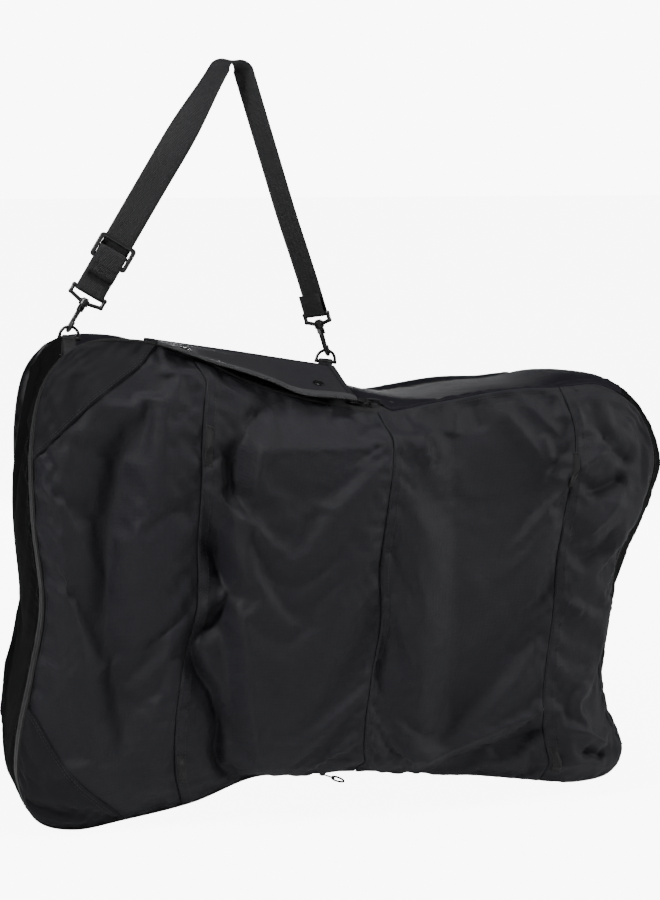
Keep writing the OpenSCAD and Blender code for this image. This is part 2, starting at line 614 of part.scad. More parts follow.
// Three-bar adjuster in front of the strap, and the sewn end looped on its middle bar
glide_h = 58;
glide_bar_r = 1.6;
glide_half_h = 14;
glide_half_w = 22.5;
glide_y = layer - webbing_t - 0.15 - webbing_t / 2 - 0.15 - glide_bar_r - 0.15;
loop_r = glide_bar_r + 0.15 + webbing_t / 2;
module on_glide() on_left_leg() translate([0, glide_y, ring_bar_z + glide_h]) children();
module tri_glide() color("#1a1a1c") piece() on_glide() {
    for (z = [-glide_half_h, 0, glide_half_h])
        rod([-glide_half_w, 0, z], [glide_half_w, 0, z], glide_bar_r);
    for (side = [-1, 1]) {
        rod([side * glide_half_w, 0, -glide_half_h], [side * glide_half_w, 0, glide_half_h], 2);
        for (z = [-glide_half_h, glide_half_h])
            translate([side * glide_half_w, 0, z]) sphere(r = 2);
    }
}
module strap_end_loop() color("#2a2a2e") piece() {
    centre = left_ring_bar + left_dir * glide_h + [0, glide_y, 0];
    stations = concat(
        [for (h = [-36, -18]) [centre + left_dir * h + [0, loop_r, 0], left_out]],
        [for (a = [0 : 30 : 180])
            [centre + left_dir * (loop_r * sin(a)) + [0, loop_r * cos(a), 0], left_out]],
        [for (h = [-18, -36]) [centre + left_dir * h - [0, loop_r, 0], left_out]]);
    ribbon(stations, webbing_w, webbing_t);
}

front_left_panel();
front_middle_panel();
front_right_panel();
front_end_panel();
back_panel();
left_gusset();
top_gusset();
right_gusset();
bottom_gusset();
corner_patch_top();
corner_patch_foot();
door_pad();
back_pad();
base_pad();
front_binding();
back_binding();
zip_tape_door();
zip_coil_door();
zip_tape_body();
zip_coil_body();
zip_end_stops();
slider_top();
puller_top();
cord_top();
slider_foot();
puller_foot();
cord_foot();
seam_loops_left();
seam_loops_right();
storm_flap();
flap_edge_tape();
snap_caps();
snap_sockets();
snap_studs();
ring_tab_left();
ring_tab_right();
d_ring_left();
d_ring_right();
hook_left();
gate_left();
swivel_ring_left();
hook_right();
gate_right();
swivel_ring_right();
strap_webbing();
tri_glide();
strap_end_loop();
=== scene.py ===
"""Looks for a soft travel bag with a shoulder strap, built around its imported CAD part.

Lengths in the tables below are millimetres; meshes are written in metres. The order is:
tables, shape of the filled bag, cloth settling, mesh builders, materials, fabric panels,
zip, flap, strap and fittings, inside, camera and light.
"""

import json
import math

import bpy
import numpy as np
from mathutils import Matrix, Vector

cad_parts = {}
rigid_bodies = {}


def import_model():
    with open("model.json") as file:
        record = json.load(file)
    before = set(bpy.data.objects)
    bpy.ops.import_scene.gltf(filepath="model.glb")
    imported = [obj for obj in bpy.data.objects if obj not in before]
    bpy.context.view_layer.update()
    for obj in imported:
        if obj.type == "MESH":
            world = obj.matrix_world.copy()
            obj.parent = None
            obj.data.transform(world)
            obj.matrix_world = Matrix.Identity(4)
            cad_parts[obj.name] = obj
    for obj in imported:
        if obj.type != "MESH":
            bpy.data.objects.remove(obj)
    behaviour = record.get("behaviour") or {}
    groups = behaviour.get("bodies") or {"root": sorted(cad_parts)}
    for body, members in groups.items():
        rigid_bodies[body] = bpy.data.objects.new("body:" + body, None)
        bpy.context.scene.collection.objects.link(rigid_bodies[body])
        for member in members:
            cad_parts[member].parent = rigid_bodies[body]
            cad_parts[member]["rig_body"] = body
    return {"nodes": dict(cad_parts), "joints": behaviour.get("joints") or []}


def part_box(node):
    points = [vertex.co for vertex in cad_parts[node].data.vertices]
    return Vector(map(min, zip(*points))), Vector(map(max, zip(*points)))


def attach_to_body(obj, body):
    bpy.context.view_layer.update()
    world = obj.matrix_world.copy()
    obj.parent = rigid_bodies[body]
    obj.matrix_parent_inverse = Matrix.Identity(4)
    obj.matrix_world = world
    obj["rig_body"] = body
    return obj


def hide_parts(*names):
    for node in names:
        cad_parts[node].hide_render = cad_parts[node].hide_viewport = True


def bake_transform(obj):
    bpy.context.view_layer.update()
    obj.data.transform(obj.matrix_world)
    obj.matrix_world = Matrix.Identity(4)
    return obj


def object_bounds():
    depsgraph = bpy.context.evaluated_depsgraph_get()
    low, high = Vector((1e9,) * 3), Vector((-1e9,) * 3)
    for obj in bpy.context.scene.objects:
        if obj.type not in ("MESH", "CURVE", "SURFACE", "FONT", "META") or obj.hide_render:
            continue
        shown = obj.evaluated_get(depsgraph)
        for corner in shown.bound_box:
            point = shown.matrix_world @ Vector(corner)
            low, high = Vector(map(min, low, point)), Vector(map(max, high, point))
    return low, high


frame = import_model()
NODES = frame["nodes"]
JOINTS = {j["name"]: j for j in frame["joints"]}
CAD_BOX = [list(corner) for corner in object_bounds()]
MM = 0.001
Y = np.array([0, 1.0, 0])

# Outline of the front seam and the side band's crown: x, z, crown, clockwise from
# the foot of the middle seam.
RIM = np.array([
    [-8, 48, 6], [-80, 50, 6], [-140, 50, 6], [-215, 24, 6], [-300, 8, 6], [-360, 0, 6],
    [-405, 14, 8], [-426, 60, 8], [-424, 115, 8], [-408, 190, 8], [-394, 275, 8],
    [-403, 375, 8], [-404, 470, 6], [-388, 545, -2], [-345, 585, -8], [-285, 590, -2],
    [-225, 576, 2], [-135, 535, 22], [-55, 511, 36], [20, 496, 34], [100, 506, 12],
    [190, 519, 8], [255, 520, 12], [310, 521, 22], [355, 492, 40], [383, 430, 46],
    [368, 365, 44], [335, 300, 42], [325, 240, 38], [314, 170, 34], [322, 110, 28],
    [345, 60, 18], [330, 25, 8], [285, 15, 6], [235, 20, 6], [150, 32, 6], [60, 42, 6]],
    float)
RIM_N = len(RIM)
FRONT_Y, BACK_Y = -150.0, 150.0
BAND_W = 300.0
OUTLINE_CENTRE = np.array([-10.0, 290.0])
BACK_SCALE = 0.95
FRONT_BULGE, BOX_BULGE, BACK_BULGE = 32.0, 28.0, 20.0
FACE_W, FACE_H = 775.0, 540.0
LEFT_SEAM, MIDDLE_SEAM, RIGHT_SEAM = 0.26, 0.54, 0.84
BOTTOM_LEFT_T, TOP_LEFT_T, TOP_RIGHT_T, BOTTOM_RIGHT_T = 6.6, 13.7, 24.2, 31.0
TOP_T = ([0, LEFT_SEAM, MIDDLE_SEAM, RIGHT_SEAM, 1], [TOP_LEFT_T, 16.2, 19, 22, TOP_RIGHT_T])
FOOT_T = ([0, LEFT_SEAM, MIDDLE_SEAM, RIGHT_SEAM, 1],
          [BOTTOM_LEFT_T, 3.15, 0, 34 - RIM_N, BOTTOM_RIGHT_T - RIM_N])
CORNER_TS = (5.3, 14.2, 23.6, 31.4)

# Zip bands: ranges of t around the bag and of s across the side band
DOOR_ZIP_T = (0.95, 18.2)
BODY_ZIP_T = (0.15, 18.85)
DOOR_TAPE_S, DOOR_COIL_S = (0.0005, 0.0385), (0.0307, 0.038)
BODY_COIL_S, BODY_TAPE_S = (0.0433, 0.0507), (0.0415, 0.0745)
GUSSET_ZIP_S, GUSSET_PLAIN_S, GUSSET_END_S = 0.0735, 0.001, 0.9988

# Soft folds of the front face: points (x, z), half width and height
FOLDS = [
    ([(-372, 470), (-376, 400), (-372, 310), (-376, 220), (-384, 150)], 30, 6),
    ([(-292, 530), (-303, 470), (-316, 400), (-322, 327), (-319, 240), (-306, 150), (-292, 85)],
     31, -13),
    ([(-244, 547), (-252, 448), (-254, 343), (-252, 236), (-244, 128), (-244, 58)], 30, 8),
    ([(-401, 421), (-371, 394)], 9, 3),
    ([(-397, 379), (-374, 357)], 8, 3),
    ([(-398, 301), (-372, 286)], 9, 3),
    ([(-404, 248), (-378, 273)], 9, 3),
    ([(-100, 514), (-138, 500), (-158, 468), (-169, 429), (-157, 394), (-150, 359)], 15, -11),
    ([(-194, 414), (-175, 392), (-153, 375), (-137, 353)], 12, 7),
    ([(-196, 445), (-183, 429), (-175, 413)], 14, 6),
    ([(-188, 371), (-191, 329), (-178, 285), (-197, 254), (-219, 231)], 13, -12),
    ([(-211, 265), (-186, 280), (-175, 306)], 10, 6),
    ([(-219, 234), (-219, 201), (-199, 162), (-189, 129), (-190, 92), (-171, 58)], 13, -12),
    ([(-214, 185), (-200, 146), (-203, 98), (-198, 65)], 12, 5),
    ([(36, 373), (25, 297), (16, 222), (6, 151)], 22, -7),
    ([(33, 500), (58, 486), (66, 464), (71, 431)], 10, 8),
    ([(75, 474), (81, 436)], 10, -7),
    ([(117, 505), (109, 468)], 12, 5),
    ([(168, 507), (197, 473), (226, 432)], 14, 6),
    ([(140, 508), (151, 472)], 12, -4),
    ([(191, 525), (219, 497), (248, 464)], 13, 5),
    ([(256, 354), (175, 313), (102, 239), (57, 164), (35, 94)], 50, 7),
    ([(228, 266), (159, 214), (91, 129), (52, 76)], 42, -8),
    ([(241, 121), (166, 103), (97, 79), (54, 62)], 16, 7),
    ([(241, 98), (166, 80), (91, 60)], 14, -7),
    ([(223, 178), (148, 132), (80, 75)], 22, 4),
    ([(226, 421), (261, 403)], 10, 4),
    ([(225, 470), (234, 431)], 9, 4),
    ([(261, 414), (289, 435), (324, 450)], 14, 8),
    ([(278, 391), (313, 401), (336, 411)], 14, -8),
    ([(279, 336), (308, 363), (331, 389)], 16, 7),
    ([(280, 242), (257, 254)], 10, 4),
    ([(293, 151), (276, 124), (288, 95)], 10, 5),
    ([(259, 97), (294, 84), (324, 65)], 14, 8),
    ([(282, 65), (318, 51)], 11, -8),
    ([(300, 470), (322, 440), (348, 425)], 13, -7),
    ([(262, 300), (296, 318), (322, 350)], 12, -6),
    ([(242, 42), (283, 48), (318, 42)], 13, 4),
]

# The outline's own coordinates start elsewhere than the frame's: the left D-ring's
# bar, which the strap swings on, tells how far apart they are.
LEFT_BAR = np.array([-335.0, 0, 582])
STAND = np.array(JOINTS["strap_swing"]["pos_m"]) / MM - LEFT_BAR

# How much higher the folds stand than the table says
FOLD_GAIN = 1.55

# Storm flap: hinge line and lip (x, z)
FLAP_LEFT, FLAP_RIGHT = np.array([-250.0, -52, 584]), np.array([-8.0, -52, 543])
FLAP_LIP_Y = -162.0
LIP = np.array([[-256, 588], [-190, 574], [-122, 552], [-68, 528], [-10, 514]], float)
FLAP_T, FLAP_RUN, FLAP_REACH = 1.8, 245, 110
FLAP_DROP, FLAP_SIDE_HEM, FLAP_LIP_HEM, FLAP_TAPE_W = 10.0, 10, 14, 11.0
SNAP_PLACES = ((0.16, 0.66), (0.83, 0.66))
STUD_TS, STUD_S = (16.1, 18.05), 0.097

# Strap
WEBBING_W, WEBBING_T = 38.0, 1.4
APEX_R = 16.0
RIGHT_TURN = -28.0
RING_BAR_Z, RING_BAR_R = 54.0, 2.2
BAR_GAP = 0.15
LAYER = RING_BAR_R + BAR_GAP + WEBBING_T / 2
WEBBING_STITCH = {"pitch": 3.0, "length": 2.3, "radius": 0.38}
# Ring tabs: folded webbing, the strip under it and how far its fold lies from the bar
TAB_W, TAB_T, STRIP_W, STRIP_T, TAB_FOLD_R = 17, 1.5, 24, 1.3, 3.3
GLIDE_H, GLIDE_BAR_R, GLIDE_HALF_H, GLIDE_HALF_W = 58.0, 1.6, 14.0, 22.5


# ---------------------------------------------------------------- small maths

def smooth(a, b, x):
    f = np.clip((np.asarray(x, float) - a) / (b - a), 0, 1)
    return f * f * (3 - 2 * f)


def lerp(a, b, f):
    return a + (b - a) * f


def grid_of(us, vs):
    return np.meshgrid(us, vs, indexing="ij")


def arc(start, end, count):
    """Evenly spaced angles in radians, from a start and an end in degrees."""
    return np.radians(np.linspace(start, end, count))


def in_columns(values, n):
    """One value per row of a grid, repeated for its n columns."""
    return np.repeat(values[:, None], n, 1)


def run_length(p):
    """Distance along a path at each of its points."""
    return np.concatenate([[0], np.cumsum(np.linalg.norm(np.diff(p, axis=0), axis=1))])


def unit(v):
    v = np.asarray(v, float)
    return v / np.maximum(np.linalg.norm(v, axis=-1, keepdims=True), 1e-9)


def spline4(a, b, c, d, f):
    return 0.5 * (2 * b + (c - a) * f + (2 * a - 5 * b + 4 * c - d) * f ** 2
                  + (3 * b - a - 3 * c + d) * f ** 3)


def curve(points, count):
    """Smooth open curve through a few points."""
    p = np.array(points, float)
    ext = np.vstack([2 * p[0] - p[1], p, 2 * p[-1] - p[-2]])
    t = np.linspace(0, len(p) - 1, count)
    i = np.minimum(np.floor(t).astype(int), len(p) - 2)
    f = (t - i)[:, None]
    return spline4(ext[i], ext[i + 1], ext[i + 2], ext[i + 3], f)


def cubic_sample(grid, fi, fj):
    """Value of a grid at fractional indices, smooth between its points."""
    m, n = grid.shape[:2]

    def blend4(get, f, count):
        i = np.clip(np.floor(f).astype(int), 0, count - 2)
        r = (f - i)[..., None]
        a, b, c, d = (get(np.clip(i + k, 0, count - 1)) for k in (-1, 0, 1, 2))
        return spline4(a, b, c, d, r)

    return blend4(lambda i: blend4(lambda j: grid[i, j], fj, n), fi, m)


def into_scene(name, data):
    obj = bpy.data.objects.new(name, data)
    bpy.context.scene.collection.objects.link(obj)
    return obj


# ------------------------------------------------------- shape of the filled bag

def rim3(t):
    t = np.asarray(t, float)
    i = np.floor(t).astype(int)
    f = (t - i)[..., None]
    a, b, c, d = (RIM[(i + k) % RIM_N] for k in (-1, 0, 1, 2))
    return spline4(a, b, c, d, f)


def rim(t):
    return rim3(t)[..., :2]


def rim_normal(t):
    d = rim(np.asarray(t) + 0.05) - rim(np.asarray(t) - 0.05)
    return unit(np.stack([-d[..., 1], d[..., 0]], -1))


SAG_T, SAG_REACH, SAG_DEPTH = 12.3, 1.1, 14.0


def band_base(t, s, inward=0.0):
    """Side band: t runs around the bag, s from the front seam to the back seam."""
    t, s = np.broadcast_arrays(np.asarray(t, float), np.asarray(s, float))
    sag = SAG_DEPTH * np.exp(-((t % RIM_N - SAG_T) / SAG_REACH) ** 2) * smooth(0.15, 0.7, s)
    inward = inward + sag
    crown = rim3(t)[..., 2] * (1 - np.abs(2 * s - 1) ** 3)
    front = rim(t)
    back = OUTLINE_CENTRE + BACK_SCALE * (front - OUTLINE_CENTRE)
    p = front + (back - front) * s[..., None] + rim_normal(t) * (crown - inward)[..., None]
    return np.stack([p[..., 0], lerp(FRONT_Y, BACK_Y, s), p[..., 1]], -1)


def face_xz(u, v):
    left = rim(lerp(BOTTOM_LEFT_T, TOP_LEFT_T, v))
    right = rim(lerp(BOTTOM_RIGHT_T, TOP_RIGHT_T, v))
    foot = rim(np.interp(u, *FOOT_T))
    top = rim(np.interp(u, *TOP_T))
    c00, c01 = rim(BOTTOM_LEFT_T), rim(TOP_LEFT_T)
    c10, c11 = rim(BOTTOM_RIGHT_T), rim(TOP_RIGHT_T)
    u, v = np.asarray(u)[..., None], np.asarray(v)[..., None]
    return (lerp(foot, top, v) + lerp(left, right, u)
            - lerp(lerp(c00, c10, u), lerp(c01, c11, u), v))


def rise(d, w):
    return 1 - (1 - np.clip(d / w, 0, 1)) ** 2.2


def swell(u, v):
    return rise(np.minimum(u, 1 - u) * FACE_W, 120) * rise(np.minimum(v, 1 - v) * FACE_H, 110)


def box_swell(x, z):
    """The stiff, squarer middle of the front."""
    left_edge = -168 + 10 * np.sin(z / 60)
    return (BOX_BULGE * smooth(left_edge - 14, left_edge + 16, x) * (1 - smooth(52, 110, x))
            * smooth(50, 76, z) * (1 - smooth(462, 500, z)))


def fold_field(x, z):
    """Height of the listed folds at each (x, z)."""
    total = np.zeros_like(x)
    for points, width, height in FOLDS:
        path = curve(points, 10 * len(points))
        best = np.full(x.shape, 1e9)
        along = np.zeros_like(x)
        for k in range(len(path) - 1):
            a, d = path[k], path[k + 1] - path[k]
            f = np.clip(((x - a[0]) * d[0] + (z - a[1]) * d[1]) / (d @ d), 0, 1)
            gap = np.hypot(x - a[0] - f * d[0], z - a[1] - f * d[1])
            near = gap < best
            best = np.where(near, gap, best)
            along = np.where(near, (k + f) / (len(path) - 1), along)
        taper = np.clip(np.minimum(along, 1 - along) * 4 + 0.25, 0, 1)
        crisp = 0.4 if width < 20 else 0.08
        shape = ((1 - crisp) * np.exp(-(best / width) ** 2)
                 + crisp * np.exp(-(best / (0.45 * width))))
        total += FOLD_GAIN * height * taper * shape
    return total


# How far the load pulls each upright seam to the right, by height
SEAM_PULL = (
    (LEFT_SEAM, [60, 180, 300, 410, 500], [0, -2, 18, 27, 22]),
    (MIDDLE_SEAM, [50, 135, 255, 350, 470], [6, 17, 21, 14, 6]),
    (RIGHT_SEAM, [50, 180, 300, 350, 410], [16, 19, 18, 6, 0]),
)
PULL_REACH = 0.1


def seam_pull(u, v, z):
    total = np.zeros_like(z)
    for seam, heights, pulls in SEAM_PULL:
        fine = np.linspace(0, 600, 61)
        rough = np.interp(fine, heights, pulls)
        even = np.convolve(np.pad(rough, 4, mode="edge"), np.ones(9) / 9, "valid")
        total += np.interp(z, fine, even) * np.exp(-((u - seam) / PULL_REACH) ** 2)
    return total * smooth(0, 0.09, np.minimum(v, 1 - v))


def edge_gap(u, v):
    """Distance from the nearest edge of the front or back face."""
    return np.minimum(np.minimum(u, 1 - u) * FACE_W, np.minimum(v, 1 - v) * FACE_H)


def face_uv(u, v):
    return u * FACE_W, v * FACE_H


def front_base(u, v):
    u, v = np.broadcast_arrays(np.asarray(u, float), np.asarray(v, float))
    p = face_xz(u, v)
    p = np.stack([p[..., 0] + seam_pull(u, v, p[..., 1]), p[..., 1]], -1)
    edge = smooth(0, 26, edge_gap(u, v))
    out = FRONT_BULGE * swell(u, v) + box_swell(p[..., 0], p[..., 1])
    out = out + edge * fold_field(p[..., 0], p[..., 1])
    return np.stack([p[..., 0], FRONT_Y - out, p[..., 1]], -1)


def back_base(u, v):
    u, v = np.broadcast_arrays(np.asarray(u, float), np.asarray(v, float))
    p = OUTLINE_CENTRE + BACK_SCALE * (face_xz(u, v) - OUTLINE_CENTRE)
    return np.stack([p[..., 0], BACK_Y + BACK_BULGE * swell(u, v), p[..., 1]], -1)


# -------------------------------------------------------------- cloth settling

SIM_COLS = (21, 22, 24, 13)
SIM_ROWS = 56
SIM_BAND = 28
SIM_FRAMES = 16
# The cloth's largest move, the share of it left on the base, and its lowest point
MOST_MOVE = 9.0
BASE_MOVE = 0.2
LOWEST_CLOTH = 1.5
FREE_HOLD, EDGE_HOLD, CLOTH_GRAVITY = 0.10, 0.6, 0.5
CLOTH = {
    "quality": 6, "mass": 0.3, "air_damping": 3, "tension_stiffness": 14,
    "compression_stiffness": 14, "shear_stiffness": 6, "bending_stiffness": 0.8,
    "vertex_group_mass": "held", "pin_stiffness": 1.0, "shrink_min": -0.03,
    "use_pressure": True, "uniform_pressure_force": 0.8}


def sim_us():
    edges = [0, LEFT_SEAM, MIDDLE_SEAM, RIGHT_SEAM, 1]
    parts = [np.linspace(a, b, n + 1)[:-1] for a, b, n in zip(edges, edges[1:], SIM_COLS)]
    return np.append(np.concatenate(parts), 1.0)


SIM_U = sim_us()
SIM_V = np.linspace(0, 1, SIM_ROWS + 1)
SIM_S = np.linspace(0, 1, SIM_BAND + 1)


def ring_ts():
    """The outline's t at each point around the face grid, in step with its border."""
    left = lerp(BOTTOM_LEFT_T, TOP_LEFT_T, SIM_V)
    top = np.interp(SIM_U, *TOP_T)
    right = lerp(BOTTOM_RIGHT_T, TOP_RIGHT_T, SIM_V)[::-1]
    foot = np.interp(SIM_U, *FOOT_T)[::-1] + RIM_N
    return np.concatenate([left[:-1], top[:-1], right[:-1], foot[:-1]])


SIM_T = ring_ts()


def shell_mesh():
    """One closed fabric shell: front grid, back grid and the band between them."""
    uu, vv = grid_of(SIM_U, SIM_V)
    front, back = front_base(uu, vv), back_base(uu, vv)
    m, n = uu.shape
    band = band_base(SIM_T[:, None], SIM_S[None, 1:-1])
    points = np.concatenate([front.reshape(-1, 3), back.reshape(-1, 3), band.reshape(-1, 3)])
    face_id = np.arange(m * n).reshape(m, n)
    back_id = face_id + m * n
    border = [(0, j) for j in range(n - 1)] + [(i, n - 1) for i in range(m - 1)]
    border += [(m - 1, j) for j in range(n - 1, 0, -1)] + [(i, 0) for i in range(m - 1, 0, -1)]
    ring = len(border)
    mid_id = 2 * m * n + np.arange(ring * (SIM_BAND - 1)).reshape(ring, SIM_BAND - 1)
    rows = [[face_id[b]] + list(mid_id[k]) + [back_id[b]] for k, b in enumerate(border)]
    faces = []
    for i in range(m - 1):
        for j in range(n - 1):
            q = [face_id[i, j], face_id[i + 1, j], face_id[i + 1, j + 1], face_id[i, j + 1]]
            faces.append([int(x) for x in q])
            q = [back_id[i, j], back_id[i, j + 1], back_id[i + 1, j + 1], back_id[i + 1, j]]
            faces.append([int(x) for x in q])
    for k in range(ring):
        a, b = rows[k], rows[(k + 1) % ring]
        for j in range(SIM_BAND):
            faces.append([int(a[j]), int(b[j]), int(b[j + 1]), int(a[j + 1])])
    return points, faces, (m, n), np.array(rows)


def pin_weights(count, shape, rows):
    """Seams hold their place; the fabric between them is only lightly held."""
    weights = np.full(count, FREE_HOLD)
    m, n = shape
    ids = np.arange(m * n).reshape(m, n)
    for u in (LEFT_SEAM, MIDDLE_SEAM, RIGHT_SEAM):
        weights[ids[int(np.argmin(abs(SIM_U - u)))]] = 1.0
    weights[rows[:, 0]] = 1.0
    weights[rows[:, 1:3].ravel()] = EDGE_HOLD
    weights[rows[:, -1]] = 1.0
    return weights


def settle():
    """Loose fabric settles on the filled shape; returns how far each point moved."""
    points, faces, shape, rows = shell_mesh()
    mesh = bpy.data.meshes.new("shell_sim")
    mesh.from_pydata((points * MM).tolist(), [], faces)
    obj = into_scene("shell_sim", mesh)
    group = obj.vertex_groups.new(name="held")
    weights = pin_weights(len(points), shape, rows)
    for w in np.unique(weights):
        group.add([int(i) for i in np.where(weights == w)[0]], float(w), "REPLACE")
    cloth = obj.modifiers.new("Cloth", "CLOTH")
    for key, value in CLOTH.items():
        setattr(cloth.settings, key, value)
    cloth.settings.effector_weights.gravity = CLOTH_GRAVITY
    cloth.collision_settings.use_collision = False
    cloth.point_cache.frame_end = SIM_FRAMES
    scene = bpy.context.scene
    for f in range(1, SIM_FRAMES + 1):
        scene.frame_set(f)
    done = obj.evaluated_get(bpy.context.evaluated_depsgraph_get())
    co = np.zeros(len(points) * 3)
    done.data.vertices.foreach_get("co", co)
    moved = co.reshape(-1, 3) / MM - points
    scene.frame_set(1)
    bpy.data.objects.remove(obj)
    bpy.data.meshes.remove(mesh)
    length = np.linalg.norm(moved, axis=1, keepdims=True)
    moved = moved * (MOST_MOVE * np.tanh(length / MOST_MOVE) / np.maximum(length, 1e-6))
    lowest = np.minimum(points[:, 2], LOWEST_CLOTH)
    moved[:, 2] = np.maximum(moved[:, 2], lowest - points[:, 2])
    under = rim_normal(SIM_T)[:, 1] < -0.6
    moved[rows[under, 1:-1]] *= BASE_MOVE
    m, n = shape
    front = moved[:m * n].reshape(m, n, 3)
    back = moved[m * n:2 * m * n].reshape(m, n, 3)
    return front, back, moved[rows]


FRONT_MOVE, BACK_MOVE, BAND_MOVE = settle()


def face_move(grid, u, v):
    fi = np.interp(u, SIM_U, np.arange(len(SIM_U)))
    return cubic_sample(grid, fi, np.asarray(v) * SIM_ROWS)


def band_move(t, s):
    ts = np.append(SIM_T, SIM_T[0] + RIM_N)
    grid = np.concatenate([BAND_MOVE, BAND_MOVE[:1]])
    t = (np.asarray(t, float) - ts[0]) % RIM_N + ts[0]
    return cubic_sample(grid, np.interp(t, ts, np.arange(len(ts))), np.asarray(s) * SIM_BAND)


def front_at(u, v):
    u, v = np.broadcast_arrays(np.asarray(u, float), np.asarray(v, float))
    return front_base(u, v) + face_move(FRONT_MOVE, u, v)


def back_at(u, v):
    u, v = np.broadcast_arrays(np.asarray(u, float), np.asarray(v, float))
    return back_base(u, v) + face_move(BACK_MOVE, u, v)


def band_at(t, s, inward=0.0):
    t, s = np.broadcast_arrays(np.asarray(t, float), np.asarray(s, float))
    return band_base(t, s, inward) + band_move(t, s)


def grid_normals(p):
    du = np.gradient(p, axis=0)
    dv = np.gradient(p, axis=1)
    return unit(np.cross(du, dv))


# ------------------------------------------------------------- mesh builders

def quads(m, n, round_m=False, round_n=False, order=(0, 1, 2, 3)):
    """Faces of an m by n grid of points, closed round either way if asked."""
    i, j = grid_of(np.arange(m - (not round_m)), np.arange(n - (not round_n)))
    i2, j2 = (i + 1) % m, (j + 1) % n
    faces = np.stack([i * n + j, i2 * n + j, i2 * n + j2, i * n + j2], -1).reshape(-1, 4)
    return faces[:, list(order)]


# Corner order of a face seen from its other side, starting at the same corner
TURNED = (0, 3, 2, 1)


def add_object(name, verts, faces, material, uvs=None):
    mesh = bpy.data.meshes.new(name)
    mesh.from_pydata(((np.asarray(verts, float) + STAND) * MM).tolist(), [],
                     [[int(i) for i in f] for f in faces])
    if uvs is not None:
        layer = mesh.uv_layers.new(name="fabric")
        loops = np.zeros(len(mesh.loops), int)
        mesh.loops.foreach_get("vertex_index", loops)
        layer.data.foreach_set("uv", (np.asarray(uvs, float) * MM)[loops].ravel())
    mesh.materials.append(material)
    mesh.polygons.foreach_set("use_smooth", [True] * len(mesh.polygons))
    mesh.update()
    return into_scene(name, mesh)


def attach(obj, body, node=None):
    """Make a piece ride on a body and, if one is named, stand for a CAD node."""
    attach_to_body(obj, body)
    if node is not None:
        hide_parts(node)


def grid_object(name, points, material, uvs, thickness=1.4, inner=None, flip=False):
    """Open grid of points turned into fabric with a thickness and an inner side."""
    m, n = points.shape[:2]
    faces = quads(m, n, order=(3, 2, 1, 0) if flip else (0, 1, 2, 3))
    obj = add_object(name, points.reshape(-1, 3), faces, material,
                     np.stack(uvs, -1).reshape(-1, 2))
    solid = obj.modifiers.new("thickness", "SOLIDIFY")
    solid.thickness = thickness * MM
    solid.offset = -1
    if inner is not None:
        obj.data.materials.append(inner)
        solid.material_offset = 1
    return obj


def tube_mesh(path, radius, sides=8, closed=False):
    """Points and faces of a round tube along a path."""
    path = np.asarray(path, float)
    count = len(path)
    ahead = np.roll(path, -1, 0) - np.roll(path, 1, 0)
    if not closed:
        ahead[0], ahead[-1] = path[1] - path[0], path[-1] - path[-2]
    ahead = unit(ahead)
    side = np.cross(ahead[0], [0, 0, 1.0])
    if np.linalg.norm(side) < 0.1:
        side = np.cross(ahead[0], Y)
    side = unit(side)
    rings = []
    radii = np.broadcast_to(radius, (count,))
    for k in range(count):
        side = unit(side - ahead[k] * (side @ ahead[k]))
        up = np.cross(ahead[k], side)
        a = np.linspace(0, 2 * np.pi, sides, endpoint=False)[:, None]
        rings.append(path[k] + radii[k] * (np.cos(a) * side + np.sin(a) * up))
    verts = np.concatenate(rings)
    faces = quads(count, sides, closed, True, TURNED).tolist()
    if not closed:
        faces.append(list(range(sides))[::-1])
        faces.append([(count - 1) * sides + j for j in range(sides)])
    return verts, faces


def join_parts(name, parts, material, uvs=False):
    verts, faces, start = [], [], 0
    for v, f in parts:
        verts.append(v)
        faces += [[i + start for i in face] for face in f]
        start += len(v)
    verts = np.concatenate(verts)
    flat = verts[:, [0, 2]] + verts[:, 1:2] if uvs else None
    return add_object(name, verts, faces, material, flat)


def lathe(profile, sides=40):
    """Points and faces of a closed turned part about +Z from (r, z) points."""
    profile = np.array(profile, float)
    a = np.linspace(0, 2 * np.pi, sides, endpoint=False)
    n = len(profile)
    ring = np.stack([np.outer(np.cos(a), profile[:, 0]), np.outer(np.sin(a), profile[:, 0]),
                     np.tile(profile[:, 1], (sides, 1))], -1)
    verts = ring.reshape(-1, 3)
    faces = quads(sides, n, True).tolist()
    faces.append([k * n for k in range(sides)][::-1])
    faces.append([k * n + n - 1 for k in range(sides)])
    return verts, faces


def placed(part, origin, x_axis, z_axis):
    """A part's points moved to an origin with its X and Z along the given directions."""
    verts, faces = part
    x, z = unit(x_axis), unit(z_axis)
    y = np.cross(z, x)
    return verts @ np.array([x, y, z]) + np.asarray(origin, float), faces


def capsule(length, radius, sides=6):
    half = length / 2 - radius
    return lathe([(radius * 0.25, -half - radius), (radius * 0.8, -half - radius * 0.6),
                  (radius, -half), (radius, half), (radius * 0.8, half + radius * 0.6),
                  (radius * 0.25, half + radius)], sides)


def resample(path, pitch):
    dist = run_length(path)
    count = max(int(dist[-1] / pitch), 2)
    at = np.linspace(0, dist[-1], count)
    return np.stack([np.interp(at, dist, path[:, k]) for k in range(3)], -1)


def stitches(name, paths, body, pitch=4.6, length=3.3, radius=0.42):
    """Rows of sewn stitches, each a small sunk capsule."""
    parts = []
    shape = capsule(length, radius)
    for path in paths:
        pts = resample(path, pitch)
        for a, b in zip(pts[:-1], pts[1:]):
            d = unit(b - a)
            side = np.cross(d, [0.3, 0.9, 0.2])
            parts.append(placed(shape, (a + b) / 2, side, d))
    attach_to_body(join_parts(name, parts, THREAD), body)


RIBBON_COLUMNS, RIBBON_EDGE = 9, 0.6


